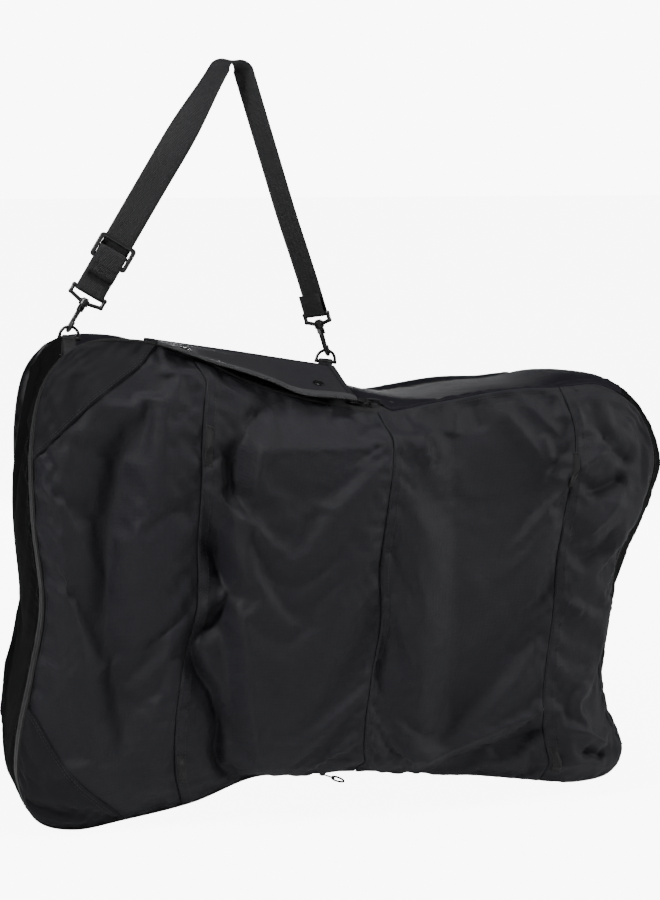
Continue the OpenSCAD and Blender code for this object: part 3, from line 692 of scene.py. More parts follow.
def ribbon_mesh(centres, across, width, thick):
    """Closed webbing strip: rounded cross-section swept along its stations."""
    centres = np.asarray(centres, float)
    across = unit(across)
    ahead = np.gradient(centres, axis=0)
    flat = unit(ahead - across * np.sum(ahead * across, 1, keepdims=True))
    up = np.cross(flat, across)
    w = np.linspace(-1, 1, RIBBON_COLUMNS)
    edge = np.where(np.abs(w) > 0.999, RIBBON_EDGE, 1.0)
    section = [(x * width / 2, e * thick / 2) for x, e in zip(w, edge)]
    section += [(x * width / 2, -e * thick / 2) for x, e in zip(w[::-1], edge[::-1])]
    section = np.array(section)
    rows = centres[:, None] + section[None, :, :1] * across[:, None] \
        + section[None, :, 1:] * up[:, None]
    m, n = rows.shape[:2]
    faces = quads(m, n, round_n=True).tolist()
    faces.append(list(range(n)))
    faces.append([(m - 1) * n + j for j in range(n)][::-1])
    dist = run_length(centres)
    uvs = np.stack([np.tile(section[:, 0], (m, 1)), in_columns(dist, n)], -1)
    return rows.reshape(-1, 3), faces, uvs.reshape(-1, 2)


def ribbon(name, centres, across, width, thick, body, node=None):
    """A length of webbing riding on a body."""
    verts, faces, uvs = ribbon_mesh(centres, across, width, thick)
    attach(add_object(name, verts, faces, WEBBING, uvs), body, node)


def moulded(node, material, voxel=0.45, rounds=4, swell_by=0.0):
    """A CAD node with the softened edges of a moulded or cast part."""
    source = NODES[node]
    obj = into_scene(node + "_moulded", source.data.copy())
    obj.data.materials.clear()
    obj.data.materials.append(material)
    remesh = obj.modifiers.new("skin", "REMESH")
    remesh.mode = "VOXEL"
    remesh.voxel_size = voxel * MM
    remesh.use_smooth_shade = True
    soften = obj.modifiers.new("soften", "SMOOTH")
    soften.factor = 0.5
    soften.iterations = rounds
    fuller = obj.modifiers.new("fuller", "DISPLACE")
    fuller.mid_level = 0.0
    fuller.strength = swell_by * MM
    dg = bpy.context.evaluated_depsgraph_get()
    done = bpy.data.meshes.new_from_object(obj.evaluated_get(dg))
    obj.modifiers.clear()
    old = obj.data
    obj.data = done
    bpy.data.meshes.remove(old)
    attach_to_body(obj, source["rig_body"])
    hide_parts(node)
    return obj


# ------------------------------------------------------------------ materials

class Shader:
    """A few short-cuts for building a node tree."""

    def __init__(self, name):
        self.mat = bpy.data.materials.new(name)
        self.mat.use_nodes = True
        self.tree = self.mat.node_tree
        self.bsdf = self.tree.nodes["Principled BSDF"]

    def node(self, kind, **values):
        n = self.tree.nodes.new(kind)
        for key, value in values.items():
            setattr(n, key, value)
        return n

    def link(self, a, b):
        self.tree.links.new(a, b)

    def math(self, op, a, b=None, c=None):
        n = self.node("ShaderNodeMath", operation=op)
        for slot, value in zip(n.inputs, (a, b, c)):
            if value is None:
                continue
            if isinstance(value, (int, float)):
                slot.default_value = value
            else:
                self.link(value, slot)
        return n.outputs[0]

    def sum(self, *terms, offset=None):
        """Sum of (value, factor) pairs, and of a constant if one is given."""
        total = None
        for value, factor in terms:
            part = self.math("MULTIPLY", value, factor)
            total = part if total is None else self.math("ADD", total, part)
        return total if offset is None else self.math("ADD", total, offset)

    def wave(self, kind, value, pitch):
        """Sine or cosine of a length, with the given pitch in millimetres."""
        return self.math(kind, self.math("MULTIPLY", value, 2 * math.pi / (pitch * MM)))

    def fabric_uv(self):
        uv = self.node("ShaderNodeUVMap", uv_map="fabric").outputs["UV"]
        parts = self.node("ShaderNodeSeparateXYZ")
        self.link(uv, parts.inputs[0])
        return uv, parts.outputs[0], parts.outputs[1]

    def noise(self, vector, scale, detail=3.0, rough=0.55):
        n = self.node("ShaderNodeTexNoise")
        n.inputs["Scale"].default_value = scale
        n.inputs["Detail"].default_value = detail
        n.inputs["Roughness"].default_value = rough
        if vector is not None:
            self.link(vector, n.inputs["Vector"])
        return n.outputs["Fac"]

    def mix(self, fac, a, b):
        n = self.node("ShaderNodeMix", data_type="RGBA")
        self.link(fac, n.inputs[0])
        n.inputs[6].default_value = (*a, 1)
        n.inputs[7].default_value = (*b, 1)
        return n.outputs[2]

    def bump(self, height, distance, strength, after=None):
        n = self.node("ShaderNodeBump")
        n.inputs["Distance"].default_value = distance
        n.inputs["Strength"].default_value = strength
        self.link(height, n.inputs["Height"])
        if after is not None:
            self.link(after, n.inputs["Normal"])
        return n.outputs["Normal"]

    def finish(self, colour=None, rough=None, normal=None, **values):
        if colour is not None:
            self.link(colour, self.bsdf.inputs["Base Color"])
        if rough is not None:
            self.link(rough, self.bsdf.inputs["Roughness"])
        if normal is not None:
            self.link(normal, self.bsdf.inputs["Normal"])
        for key, value in values.items():
            self.bsdf.inputs[key.replace("_", " ")].default_value = value
        return self.mat


def woven(name, dark, light, rough=0.7, sheen=0.03, thread=0.75, grid=4.4, grid_gain=0.14,
          crease=0.5, shine=0.24):
    """Plain weave with a faint ripstop grid, cloudy tone and small creases."""
    s = Shader(name)
    uv, x, y = s.fabric_uv()
    weave = s.math("MULTIPLY", s.wave("SINE", x, thread * 2), s.wave("SINE", y, thread * 2))
    lines = [s.math("POWER", s.math("MAXIMUM", s.wave("COSINE", c, grid), 0.0), 24.0)
             for c in (x, y)]
    ripstop = s.math("MAXIMUM", *lines)
    stretch = s.node("ShaderNodeVectorMath", operation="MULTIPLY")
    stretch.inputs[1].default_value = (0.4, 1.0, 1.0)
    s.link(uv, stretch.inputs[0])
    slub = s.noise(stretch.outputs[0], 1100.0, 3.0, 0.7)
    cloud = s.noise(uv, 9.0, 4.0, 0.6)
    wear = s.noise(uv, 38.0, 5.0, 0.65)
    tone = s.sum((cloud, 0.5), (slub, 2.2), (ripstop, grid_gain), offset=-0.95)
    colour = s.mix(tone, dark, light)
    roughness = s.sum((wear, 0.22), (slub, 0.4), offset=rough - 0.31)
    fine = s.bump(s.sum((weave, 0.35), (ripstop, 0.6), (slub, 1.6)), 0.00024, 0.7)
    normal = s.bump(s.noise(uv, 26.0, 5.0, 0.6), 0.004, crease, fine)
    return s.finish(colour, roughness, normal, Sheen_Weight=sheen, Sheen_Roughness=0.45,
                    Specular_IOR_Level=shine)


def ribbed(name, dark, light, pitch=1.5, along=False, rough=0.5):
    """Ribbed webbing or tape: ribs across or along its run, with a twill slant."""
    s = Shader(name)
    uv, x, y = s.fabric_uv()
    first, second = (x, y) if along else (y, x)
    zigzag = s.math("ABSOLUTE", s.wave("SINE", second, pitch * 8))
    rib = s.math("SINE", s.sum((first, 2 * math.pi / (pitch * MM)), (zigzag, 2.4)))
    cross = s.wave("SINE", second, 0.8)
    fuzz = s.noise(uv, 700.0, 2.0)
    colour = s.mix(s.sum((rib, 0.3), (fuzz, 0.8)), dark, light)
    normal = s.bump(s.sum((rib, 0.8), (cross, 0.3), (fuzz, 0.5)), 0.0003, 0.7)
    roughness = s.sum((fuzz, 0.2), offset=rough - 0.1)
    return s.finish(colour, roughness, normal, Sheen_Weight=0.06, Sheen_Roughness=0.4,
                    Specular_IOR_Level=0.3)


def solid(name, dark, light, rough=0.4, metallic=0.0, scale=220.0, grain=0.00005, coat=0.0):
    """Moulded plastic or painted metal: fine grain, uneven sheen, light scuffs."""
    s = Shader(name)
    where = s.node("ShaderNodeTexCoord").outputs["Object"]
    fine = s.noise(where, scale * 8, 3.0)
    patch = s.noise(where, scale * 0.25, 4.0, 0.6)
    scuff = s.math("POWER", s.noise(where, scale, 6.0, 0.75), 6.0)
    colour = s.mix(s.sum((patch, 0.5), (scuff, 3.0)), dark, light)
    roughness = s.sum((patch, 0.18), offset=rough - 0.09)
    normal = s.bump(fine, grain, 0.5)
    return s.finish(colour, roughness, normal, Metallic=metallic, Coat_Weight=coat,
                    Coat_Roughness=0.25)


SHELL = woven("shell_fabric_look", (0.0036, 0.0035, 0.0056), (0.0115, 0.0111, 0.0172), rough=0.64,
              shine=0.34)
# Side and base bands: a darker fabric of their own, with the colour darkened further as painted
# shade for the sides turned away from the light
SIDE_DARK_AND_SHADED = woven("side_fabric_and_painted_shade_look", (0.0030, 0.0030, 0.0033), (0.0075, 0.0075, 0.0082), rough=0.85,
             sheen=0.0, shine=0.05)
TOP = woven("top_fabric_look", (0.0050, 0.0048, 0.0070), (0.0150, 0.0145, 0.0205), rough=0.72,
            sheen=0.0, shine=0.13)
PATCH = woven("patch_fabric_look", (0.0036, 0.0035, 0.0050), (0.0100, 0.0097, 0.0140), rough=0.68,
              grid_gain=0.1, thread=0.5, crease=0.25)
LINING = woven("lining_look", (0.05, 0.05, 0.053), (0.085, 0.085, 0.09), rough=0.6,
               grid=3.0, grid_gain=0.2)
PADDING = woven("padding_look", (0.06, 0.06, 0.064), (0.10, 0.10, 0.105), rough=0.65,
                grid=2.4, grid_gain=0.25)
TAPE = ribbed("zip_tape_look", (0.008, 0.008, 0.009), (0.022, 0.022, 0.025), pitch=1.2,
              along=True)
BINDING = ribbed("binding_look", (0.004, 0.004, 0.0045), (0.011, 0.011, 0.012), pitch=1.4)
EDGE = ribbed("flap_edge_look", (0.020, 0.020, 0.022), (0.060, 0.060, 0.065), pitch=2.4)
WEBBING = ribbed("webbing_look", (0.008, 0.008, 0.0088), (0.026, 0.026, 0.0285), pitch=1.7)
COIL = solid("zip_coil_look", (0.012, 0.012, 0.013), (0.05, 0.05, 0.054), rough=0.35)
TEETH = solid("zip_teeth_look", (0.03, 0.03, 0.031), (0.085, 0.085, 0.088), rough=0.3)
THREAD = solid("thread_look", (0.004, 0.004, 0.0045), (0.012, 0.012, 0.013), rough=0.6)
CORD = ribbed("cord_look", (0.008, 0.008, 0.009), (0.03, 0.03, 0.033), pitch=1.6)
PLASTIC = solid("hardware_plastic_look", (0.010, 0.010, 0.011), (0.028, 0.028, 0.030),
                rough=0.3, grain=0.00006, coat=0.35)
STEEL = solid("painted_metal_look", (0.012, 0.012, 0.013), (0.05, 0.05, 0.054), rough=0.3,
              metallic=0.6, coat=0.4)
SNAP = solid("snap_metal_look", (0.03, 0.03, 0.033), (0.12, 0.12, 0.125), rough=0.26,
             metallic=0.9, coat=0.2)


# ------------------------------------------------------------- fabric panels

SEAM_GROOVE, SEAM_RIDGE, SEAM_ALLOWANCE = 0.8, 0.7, 12.0
PUCKER_PITCH, PUCKER_HEIGHT, PUCKER_REACH = 17.0, 0.4, 16.0
CROWDING = 0.055
# Share of a full seam's relief along the rim of the front and along the side band
RIM_RELIEF, BAND_RELIEF = 0.6, 0.8
# What the front panels leave free at the middle seam, and their rows of points
PANEL_TRIM, PANEL_ROWS = 0.0002, 190


def seam_relief(d, along, phase=0.0, ridge=True):
    """Height near a seam d away: a groove, the folded allowance and small puckers."""
    groove = -SEAM_GROOVE * np.exp(-(d / 1.1) ** 2)
    allowance = SEAM_RIDGE * (1 - smooth(SEAM_ALLOWANCE - 1, SEAM_ALLOWANCE + 1.5, d)) * ridge
    wave = np.sin(along / PUCKER_PITCH * 2 * np.pi + phase + 1.7 * np.sin(along / 41 + phase))
    pucker = PUCKER_HEIGHT * wave * np.exp(-d / PUCKER_REACH) * smooth(0, 3, d)
    return groove + allowance + pucker


def dense(edge_a, edge_b, count):
    """Parameters between two seams, closer together next to them."""
    x = np.linspace(0, 1, count)
    return lerp(edge_a, edge_b, x - CROWDING * np.sin(2 * np.pi * x))


def front_panel(side, u0, u1, cols):
    """One panel of the front between two seams; the one at the door's hinge line goes to
    hinge_fold instead of riding on a body.
    """
    us = dense(u0 + PANEL_TRIM * (u0 == MIDDLE_SEAM), u1 - PANEL_TRIM * (u1 == MIDDLE_SEAM), cols)
    uu, vv = grid_of(us, dense(0, 1, PANEL_ROWS))
    p = front_at(uu, vv)
    normal = -grid_normals(p)
    normal = np.where(normal[..., 1:2] > 0, -normal, normal)
    z = p[..., 2]
    lift = np.zeros_like(uu)
    if u0 > 0:
        lift += seam_relief((uu - u0) * FACE_W, z, 3 * u0)
    if u1 < 1:
        lift += seam_relief((u1 - uu) * FACE_W, z, 5 * u1, ridge=False)
    lift += RIM_RELIEF * seam_relief((1 - vv) * FACE_H, p[..., 0], 1.0)
    lift += RIM_RELIEF * seam_relief(vv * FACE_H, p[..., 0], 2.0)
    obj = grid_object(f"front_{side}_cover", p + normal * lift[..., None], SHELL,
                      face_uv(uu, vv), inner=LINING)
    if u1 == MIDDLE_SEAM:
        hinge_fold(obj)
    else:
        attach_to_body(obj, "door" if u1 < MIDDLE_SEAM else "bag")
    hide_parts(f"front_{side}_panel")


def back_cover():
    us, vs = dense(0, 1, 150), dense(0, 1, 110)
    uu, vv = grid_of(us, vs)
    p = back_at(uu, vv)
    p[..., 1] += seam_relief(edge_gap(uu, vv), p[..., 0] + p[..., 2], 4.0)
    obj = grid_object("back_cover", p, SHELL, face_uv(uu, vv), inner=LINING, flip=True)
    attach(obj, "bag", "back_panel")


def gusset_start(t):
    plain = np.maximum(smooth(18.95, 19.3, t), 1 - smooth(-0.6, -0.2, t))
    return lerp(GUSSET_ZIP_S, GUSSET_PLAIN_S, plain)


def rim_length(ts):
    return run_length(rim(ts))


def gusset(name, node, t0, t1, cols, material, rows=64):
    ts = np.linspace(t0 + 0.012, t1, cols)
    fs = dense(0, 1, rows)
    tt, ff = grid_of(ts, fs)
    ss = lerp(gusset_start(tt), GUSSET_END_S, ff)
    p = band_at(tt, ss)
    normal = np.stack([rim_normal(tt)[..., 0], np.zeros_like(tt), rim_normal(tt)[..., 1]], -1)
    along = in_columns(rim_length(ts), rows)
    width = (ss - gusset_start(tt)) * BAND_W
    lift = BAND_RELIEF * seam_relief(width, along, t0)
    lift += BAND_RELIEF * seam_relief((GUSSET_END_S - ss) * BAND_W, along, t1)
    ends = np.minimum(along, along[-1:, :] - along)
    lift += seam_relief(ends, ss * BAND_W, t0 + t1)
    p = p + normal * lift[..., None]
    attach(grid_object(name, p, material, (along, ss * BAND_W), inner=LINING), "bag", node)


def hinge_fold(obj):
    """Fabric that crosses the door's hinge line: its placing is baked into its points, on no body.
    """
    joint = JOINTS["door_hinge"]
    pivot, axis = np.array(joint["pos_m"]), unit(joint["axis"])
    away = unit(np.cross(axis, Y))
    away = away if away[0] < 0 else -away
    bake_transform(obj)


def panels():
    front_panel("left", 0, LEFT_SEAM, 76)
    front_panel("middle", LEFT_SEAM, MIDDLE_SEAM, 96)
    front_panel("right", MIDDLE_SEAM, RIGHT_SEAM, 88)
    front_panel("end", RIGHT_SEAM, 1, 56)
    back_cover()
    a, b, c, d = CORNER_TS
    gusset("left_side_cover", "left_gusset", a, b, 150, SIDE_DARK_AND_SHADED)
    gusset("top_cover", "top_gusset", b, c, 190, TOP)
    gusset("right_side_cover", "right_gusset", c, d, 130, SIDE_DARK_AND_SHADED)
    gusset("base_cover", "bottom_gusset", d - RIM_N, a, 170, SIDE_DARK_AND_SHADED)


PATCH_U, PATCH_V, PATCH_REACH = 0.195, 0.273, 140
PATCH_HEM = 7
# How far the diagonal bulges out of a straight line, as a share of the patch
PATCH_ROUND_TOP, PATCH_ROUND_FOOT = 0.1, 0.26


def corner_patch(name, node, top):
    """Triangular reinforcement with a turned-in, top-stitched diagonal edge."""
    ps = np.linspace(0.004, 1, 44)
    qs = np.linspace(0, 1, 44)
    pp, qq = grid_of(ps, qs)
    rounding = PATCH_ROUND_TOP if top else PATCH_ROUND_FOOT
    reach = pp * (1 + rounding * 4 * qq * (1 - qq))
    u = reach * qq * PATCH_U
    v = reach * (1 - qq) * PATCH_V
    v = 1 - v if top else v
    p = front_at(u, v)
    hem = (1 - pp) * PATCH_REACH
    lift = 1.6 + 0.9 * (1 - smooth(PATCH_HEM, PATCH_HEM + 2, hem))
    lift -= 0.9 * np.exp(-((hem - PATCH_HEM) / 1.2) ** 2)
    lift *= smooth(-0.5, 4, np.minimum(u * FACE_W, np.minimum(v, 1 - v) * FACE_H) + 1)
    p[..., 1] -= np.maximum(lift, 0.6)
    obj = grid_object(name, p, PATCH, face_uv(u, v), thickness=1.0, flip=not top)
    attach(obj, "door", node)
    rows = [p[np.argmin(abs(hem[:, 0] - k))] + [0, -0.3, 0] for k in (2.5, 7.5)]
    stitches(name + "_stitching", rows, "door")


def seam_paths(u, offsets):
    vs = np.linspace(0.012, 0.988, 260)
    paths = []
    for off in offsets:
        uu = u + off / FACE_W
        p = front_at(uu, vs)
        p[:, 1] -= 0.75 if off > 0 else 0.1
        paths.append(p)
    return paths


TWIN_ROWS = (2.6, 10.4)
EDGE_INSET, STITCH_PROUD = 0.011, 0.5


def seam_stitching():
    """Twin rows beside each upright seam, and one row inside every edge."""
    for side, u, body in zip(("left", "middle", "right"), (LEFT_SEAM, MIDDLE_SEAM, RIGHT_SEAM),
                             ("door", "bag", "bag")):
        stitches(side + "_seam_stitching", seam_paths(u, TWIN_ROWS), body)
    vs = np.linspace(0.01, 0.99, 200)
    side = EDGE_INSET * FACE_H / FACE_W
    for name, body, us, u_side in (
            ("door_edge_stitching", "door", np.linspace(0.01, MIDDLE_SEAM - 0.05, 220), side),
            ("front_edge_stitching", "bag", np.linspace(MIDDLE_SEAM + 0.01, 0.99, 180), 1 - side)):
        rows = [front_at(us, v) for v in (1 - EDGE_INSET, EDGE_INSET)]
        rows.append(front_at(u_side, vs))
        for p in rows:
            p[:, 1] -= STITCH_PROUD
        stitches(name, rows, body)
    lines = []
    for first, count in ((1, 260), (0, 220), (2, 200)):
        ts = np.linspace(CORNER_TS[first], CORNER_TS[first + 1], count)
        lines.append(band_at(ts, gusset_start(ts) + 0.012, -STITCH_PROUD))
        lines.append(band_at(ts, 0.978, -STITCH_PROUD))
    stitches("side_stitching", lines, "bag")


def seam_loop_points(u, v0, height=0.082, width=0.0095):
    """A small tape loop sewn into a seam at both ends, standing off between them."""
    aa, bb = grid_of(np.linspace(0, 1, 8), np.linspace(0, 1, 30))
    uu, vv = u + aa * width, v0 + bb * height
    p = front_at(uu, vv)
    stand = 1.8 + 4.2 * np.sin(np.pi * np.clip((bb - 0.08) / 0.84, 0, 1)) ** 0.6
    stand = stand * (0.75 + 0.25 * np.sin(np.pi * aa))
    p[..., 1] -= stand
    return p, face_uv(aa * width, bb * height)


def seam_loops(name, node, body, places):
    first = None
    ends = []
    for k, (u, v) in enumerate(places):
        p, uvs = seam_loop_points(u, v)
        obj = grid_object(f"{name}_{k + 1}", p, BINDING, uvs, thickness=1.0)
        attach(obj, body)
        if first is None:
            first = obj
            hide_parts(node)
        for row in (p[:, 1], p[:, 3], p[:, -4], p[:, -2]):
            ends.append(row + [0, -0.6, 0])
    stitches(name + "_tacks", ends, body, pitch=2.4, length=1.9, radius=0.4)


# --------------------------------------------------------------------- zip

TAPE_TUCK, TAPE_T = 1.5, 0.5
ZIP_STEPS, COIL_DEPTH, COIL_R, TOOTH_PITCH = 420, 0.75, 0.85, 2.1
PIPING_R = 2.1
# How far across the band the tape's tails reach, past the coil's ends
DOOR_TAIL_S, BODY_TAIL_S = (0.0005, 0.042), (0.0005, 0.078)


def zip_strip(name, node, t_range, s_range, body):
    """Zip tape; the part of it behind the coil lies a little deeper."""
    ts = np.linspace(*t_range, ZIP_STEPS)
    ss = np.linspace(*s_range, 15)
    tt, sv = grid_of(ts, ss)
    p = band_base(tt, sv, TAPE_TUCK * smooth(0.028, 0.032, sv) * (1 - smooth(0.050, 0.054, sv)))
    along = in_columns(rim_length(ts), len(ss))
    attach(grid_object(name, p, TAPE, (sv * BAND_W, along), thickness=TAPE_T), body, node)


def tape_end(name, t_range, s_range, folds):
    """Tail of the zip tape past the coil, lying just under the fabric around it."""
    tt, ss = grid_of(np.linspace(*t_range, 40), np.linspace(*s_range, 12))
    p = band_base(tt, ss, TAPE_TUCK)
    along = in_columns(rim_length(tt[:, 0]), 12)
    obj = grid_object(name, p, TAPE, (ss * BAND_W, along), thickness=TAPE_T)
    if folds:
        hinge_fold(obj)
    else:
        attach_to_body(obj, "bag")


def zip_coil(name, node, t_range, s_range, body, shift):
    """A coil core with a tooth at every turn."""
    s_mid = sum(s_range) / 2
    ts = np.linspace(*t_range, ZIP_STEPS)
    core = band_base(ts, s_mid, COIL_DEPTH)
    attach(join_parts(name + "_core", [tube_mesh(core, COIL_R, 8)], COIL), body, node)
    pts = resample(band_base(np.linspace(*t_range, 3000), s_mid, COIL_DEPTH), TOOTH_PITCH)
    towards_gap = 1 if shift else -1
    parts = []
    tooth = capsule(2.9, 0.45, 6)
    for k in range(1, len(pts) - 1):
        d = unit(pts[k + 1] - pts[k - 1])
        out = unit(np.cross(Y, d))
        centre = pts[k] + d * (0.5 * shift) + np.array([0, -0.1 * towards_gap, 0])
        parts.append(placed(tooth, centre, out, Y))
    teeth = join_parts(name + "_teeth", parts, TEETH)
    attach(teeth, body)


def door_piping():
    """Corded edge where the door's fabric meets its zip tape."""
    ts = np.linspace(*DOOR_ZIP_T, ZIP_STEPS)
    path = band_base(ts, 0.0, 0.4)
    path[:, 1] -= 0.9
    obj = join_parts("door_piping", [tube_mesh(path, PIPING_R, 10)], BINDING, uvs=True)
    attach(obj, "door")


def zips():
    zip_strip("door_zip_tape", "zip_tape_door", DOOR_ZIP_T, DOOR_TAPE_S, "door")
    zip_strip("body_zip_tape", "zip_tape_body", BODY_ZIP_T, BODY_TAPE_S, "bag")
    zip_coil("door_zip", "zip_coil_door", DOOR_ZIP_T, DOOR_COIL_S, "door", 1)
    zip_coil("body_zip", "zip_coil_body", BODY_ZIP_T, BODY_COIL_S, "bag", 0)
    tape_end("door_tape_tail_top", (DOOR_ZIP_T[1], BODY_ZIP_T[1]), DOOR_TAIL_S, True)
    tape_end("door_tape_tail_foot", (BODY_ZIP_T[0], DOOR_ZIP_T[0]), DOOR_TAIL_S, True)
    tape_end("body_tape_tail_top", (BODY_ZIP_T[1] - 0.02, 19.35), BODY_TAIL_S, False)
    tape_end("body_tape_tail_foot", (-0.65, BODY_ZIP_T[0] + 0.02), BODY_TAIL_S, False)
    door_piping()
    moulded("zip_end_stops", STEEL, 0.35, 2)
    for end in ("top", "foot"):
        moulded("slider_" + end, STEEL, 0.3, 3)
        moulded("puller_" + end, STEEL, 0.3, 3)
        pull_cord("cord_" + end)


def pull_cord(node):
    """Braided cord loop through a pull tab, in the plane the tab swings in."""
    body = NODES[node]["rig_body"]
    joint = next(j for j in frame["joints"] if j["child"] == body)
    pivot = joint_place(joint["name"])
    axis = unit(joint["axis"])
    low, high = (np.array(c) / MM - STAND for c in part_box(node))
    reach_to = (low + high) / 2 - pivot
    d = unit(reach_to - axis * (reach_to @ axis))
    normal = np.cross(d, axis)
    path = []
    for a in np.linspace(0, 2 * np.pi, 40, endpoint=False):
        reach = 21.4 - 8.2 * np.cos(a)
        width = 2.7 * np.sin(a) * (0.75 + 0.25 * np.cos(a / 2) ** 2)
        path.append(pivot + d * reach + normal * width)
    obj = join_parts(node + "_braid", [tube_mesh(path, 1.25, 10, closed=True)], CORD, uvs=True)
    attach(obj, body, node)


# --------------------------------------------------------------------- flap

def lip_at(a):
    ext = np.vstack([LIP[0], LIP, LIP[-1]])
    t = np.asarray(a, float) * (len(LIP) - 1)
    i = np.minimum(np.floor(t).astype(int), len(LIP) - 2)
    return spline4(ext[i], ext[i + 1], ext[i + 2], ext[i + 3], (t - i)[..., None])


def flap_at(a, b):
    a, b = np.broadcast_arrays(np.asarray(a, float), np.asarray(b, float))
    e = lip_at(a)
    hinge = FLAP_LEFT + (FLAP_RIGHT - FLAP_LEFT) * a[..., None]
    edge = np.stack([e[..., 0], np.full_like(a, FLAP_LIP_Y), e[..., 1]], -1)
    p = hinge + (edge - hinge) * b[..., None]
    wave = 1.4 * np.sin(a * 9 + b * 3) * b * (1 - b) * 2 + 1.2 * np.sin(a * 17 + 1) * b * (1 - b)
    drop = FLAP_DROP * smooth(0, 0.3, a) * (1 - smooth(0.62, 0.95, a)) * smooth(0.15, 1, b)
    p[..., 2] += wave - drop
    return p


def flap_root():
    """The flap's seam allowance, turned down and sewn to the bag behind its hinge line."""
    m, n = 90, 30
    aa = np.linspace(0, 1, m)
    top = flap_at(aa, 0) + [0, 0, 0.3]
    ts = np.linspace(14.5, 20, 1600)
    ground = band_at(ts, (top[0, 1] + 6 - FRONT_Y) / BAND_W, -0.8)
    under = np.stack([np.interp(top[:, 0], ground[:, 0], ground[:, k]) for k in range(3)], -1)
    front = under * [1, 0, 1] + top * [0, 1, 0]
    rows = [front + [0, -9, 0.2], front + [0, -2, 1.2], lerp(front, top, 0.6) + [0, 0.5, 0],
            top + [0, 1.2, 0], top + [0, 4.5, -0.4], under + [0, 8, 2.0], under + [0, 16, 0.6]]
    p = np.stack([curve([r[k] for r in rows], n) for k in range(m)])
    run = in_columns(aa * FLAP_RUN, n)
    over = np.repeat(np.linspace(0, 40, n)[None], m, 0)
    attach(grid_object("flap_root", p, TOP, (run, over), thickness=1.0), "bag")
    stitches("flap_root_stitching", [under + [0, 12.5, 1.9]], "bag")


def storm_flap():
    aa, bb = grid_of(dense(0, 1, 120), dense(0, 1, 50))
    p = flap_at(aa, bb)
    side = np.minimum(aa, 1 - aa) * FLAP_RUN
    hem = (1 - bb) * FLAP_REACH
    lift = 0.9 * (1 - smooth(FLAP_SIDE_HEM - 1, FLAP_SIDE_HEM + 1, side))
    lift += 0.8 * (1 - smooth(FLAP_LIP_HEM - 1, FLAP_LIP_HEM + 1, hem))
    lift -= 0.8 * np.exp(-((side - FLAP_SIDE_HEM + 0.5) / 1.5) ** 2)
    lift -= 0.8 * np.exp(-((hem - FLAP_LIP_HEM) / 1.5) ** 2)
    p[..., 2] += lift
    uvs = (aa * FLAP_RUN, bb * FLAP_REACH)
    obj = grid_object("storm_flap_cover", p, SHELL, uvs, thickness=FLAP_T, inner=LINING,
                      flip=True)
    attach(obj, "flap", "storm_flap")
    rows = [flap_at(np.linspace(0.02, 0.98, 160), 1 - k / FLAP_REACH) + [0, 0, 1.0]
            for k in (3, 12)]
    rows += [flap_at(a, np.linspace(0.04, 0.97, 60)) + [0, 0, 1.1]
             for a in (0.012, 0.032, 0.968, 0.988)]
    stitches("flap_stitching", rows, "flap")
    flap_edge()
    flap_root()


def flap_edge():
    """Ribbed tape folded over the flap's free front edge."""
    aa = np.linspace(0, 1, 200)
    lip = flap_at(aa, 1)
    back = flap_at(aa, 1 - FLAP_TAPE_W / FLAP_REACH)
    rows = []
    for f in np.linspace(0, 1, 6):
        rows.append(back + (lip - back) * f + [0, -2.2 * f, 1.6])
    for drop, y in ((0.2, -3.0), (1.2, -3.4), (2.6, -3.2), (3.6, -2.4)):
        rows.append(lip + [0, y, 1.2 - drop])
    p = np.stack(rows, 1)
    run = in_columns(aa * FLAP_RUN, p.shape[1])
    over = np.repeat((np.arange(p.shape[1]) * 2.0)[None], 200, 0)
    obj = grid_object("flap_edge_ribbing", p, EDGE, (over, run), thickness=0.7,
                      flip=True)
    attach(obj, "flap", "flap_edge_tape")
    parts = []
    pts = resample(lip + [0, -3.3, -1.6], 2.6)
    bead = capsule(3.0, 0.7, 6)
    for a, b in zip(pts[:-1], pts[1:]):
        parts.append(placed(bead, (a + b) / 2, unit(b - a), [0, -0.35, -1]))
    beads = join_parts("flap_edge_beads", parts, COIL)
    attach(beads, "flap")


def snap_frame(a, b):
    p = flap_at(a, b)
    du = flap_at(a + 0.03, b) - flap_at(a - 0.03, b)
    dv = flap_at(a, b - 0.06) - flap_at(a, b + 0.06)
    return p, unit(du), unit(np.cross(unit(du), unit(dv)))


def snaps():
    caps, sockets, studs = [], [], []
    cap = lathe([(0.2, 0.1), (6.4, 0.1), (6.9, 0.5), (6.8, 1.1), (6.2, 1.5), (5.6, 1.35),
                 (5.2, 1.2), (4.4, 1.5), (2.6, 1.9), (0.2, 2.0)])
    socket = lathe([(2.9, 0.0), (5.2, 0.0), (5.6, 0.5), (5.4, 1.4), (4.6, 2.1), (3.6, 2.2),
                    (3.1, 1.8), (2.9, 1.2)])
    stud = lathe([(0.2, 0.0), (5.2, 0.0), (5.6, 0.4), (5.2, 0.9), (3.2, 1.1), (2.3, 1.5),
                  (2.2, 2.0), (2.55, 2.5), (2.3, 3.0), (1.4, 3.2), (0.2, 3.2)])
    for a, b in SNAP_PLACES:
        p, x, z = snap_frame(a, b)
        caps.append(placed(cap, p + z * 0.4, x, z))
        sockets.append(placed(socket, p - z * (FLAP_T + 0.3), x, -z))
    for t in STUD_TS:
        n = rim_normal(t)
        z = np.array([n[0], 0, n[1]])
        studs.append(placed(stud, band_at(t, STUD_S, -0.2), [n[1], 0, -n[0]], z))
    for name, parts, node, body in (("snap_cap_domes", caps, "snap_caps", "flap"),
                                    ("snap_socket_rings", sockets, "snap_sockets", "flap"),
                                    ("snap_stud_posts", studs, "snap_studs", "bag")):
        obj = join_parts(name, parts, SNAP)
        attach(obj, body, node)


# -------------------------------------------------------------------- strap

def joint_place(name):
    return np.array(JOINTS[name]["pos_m"]) / MM - STAND


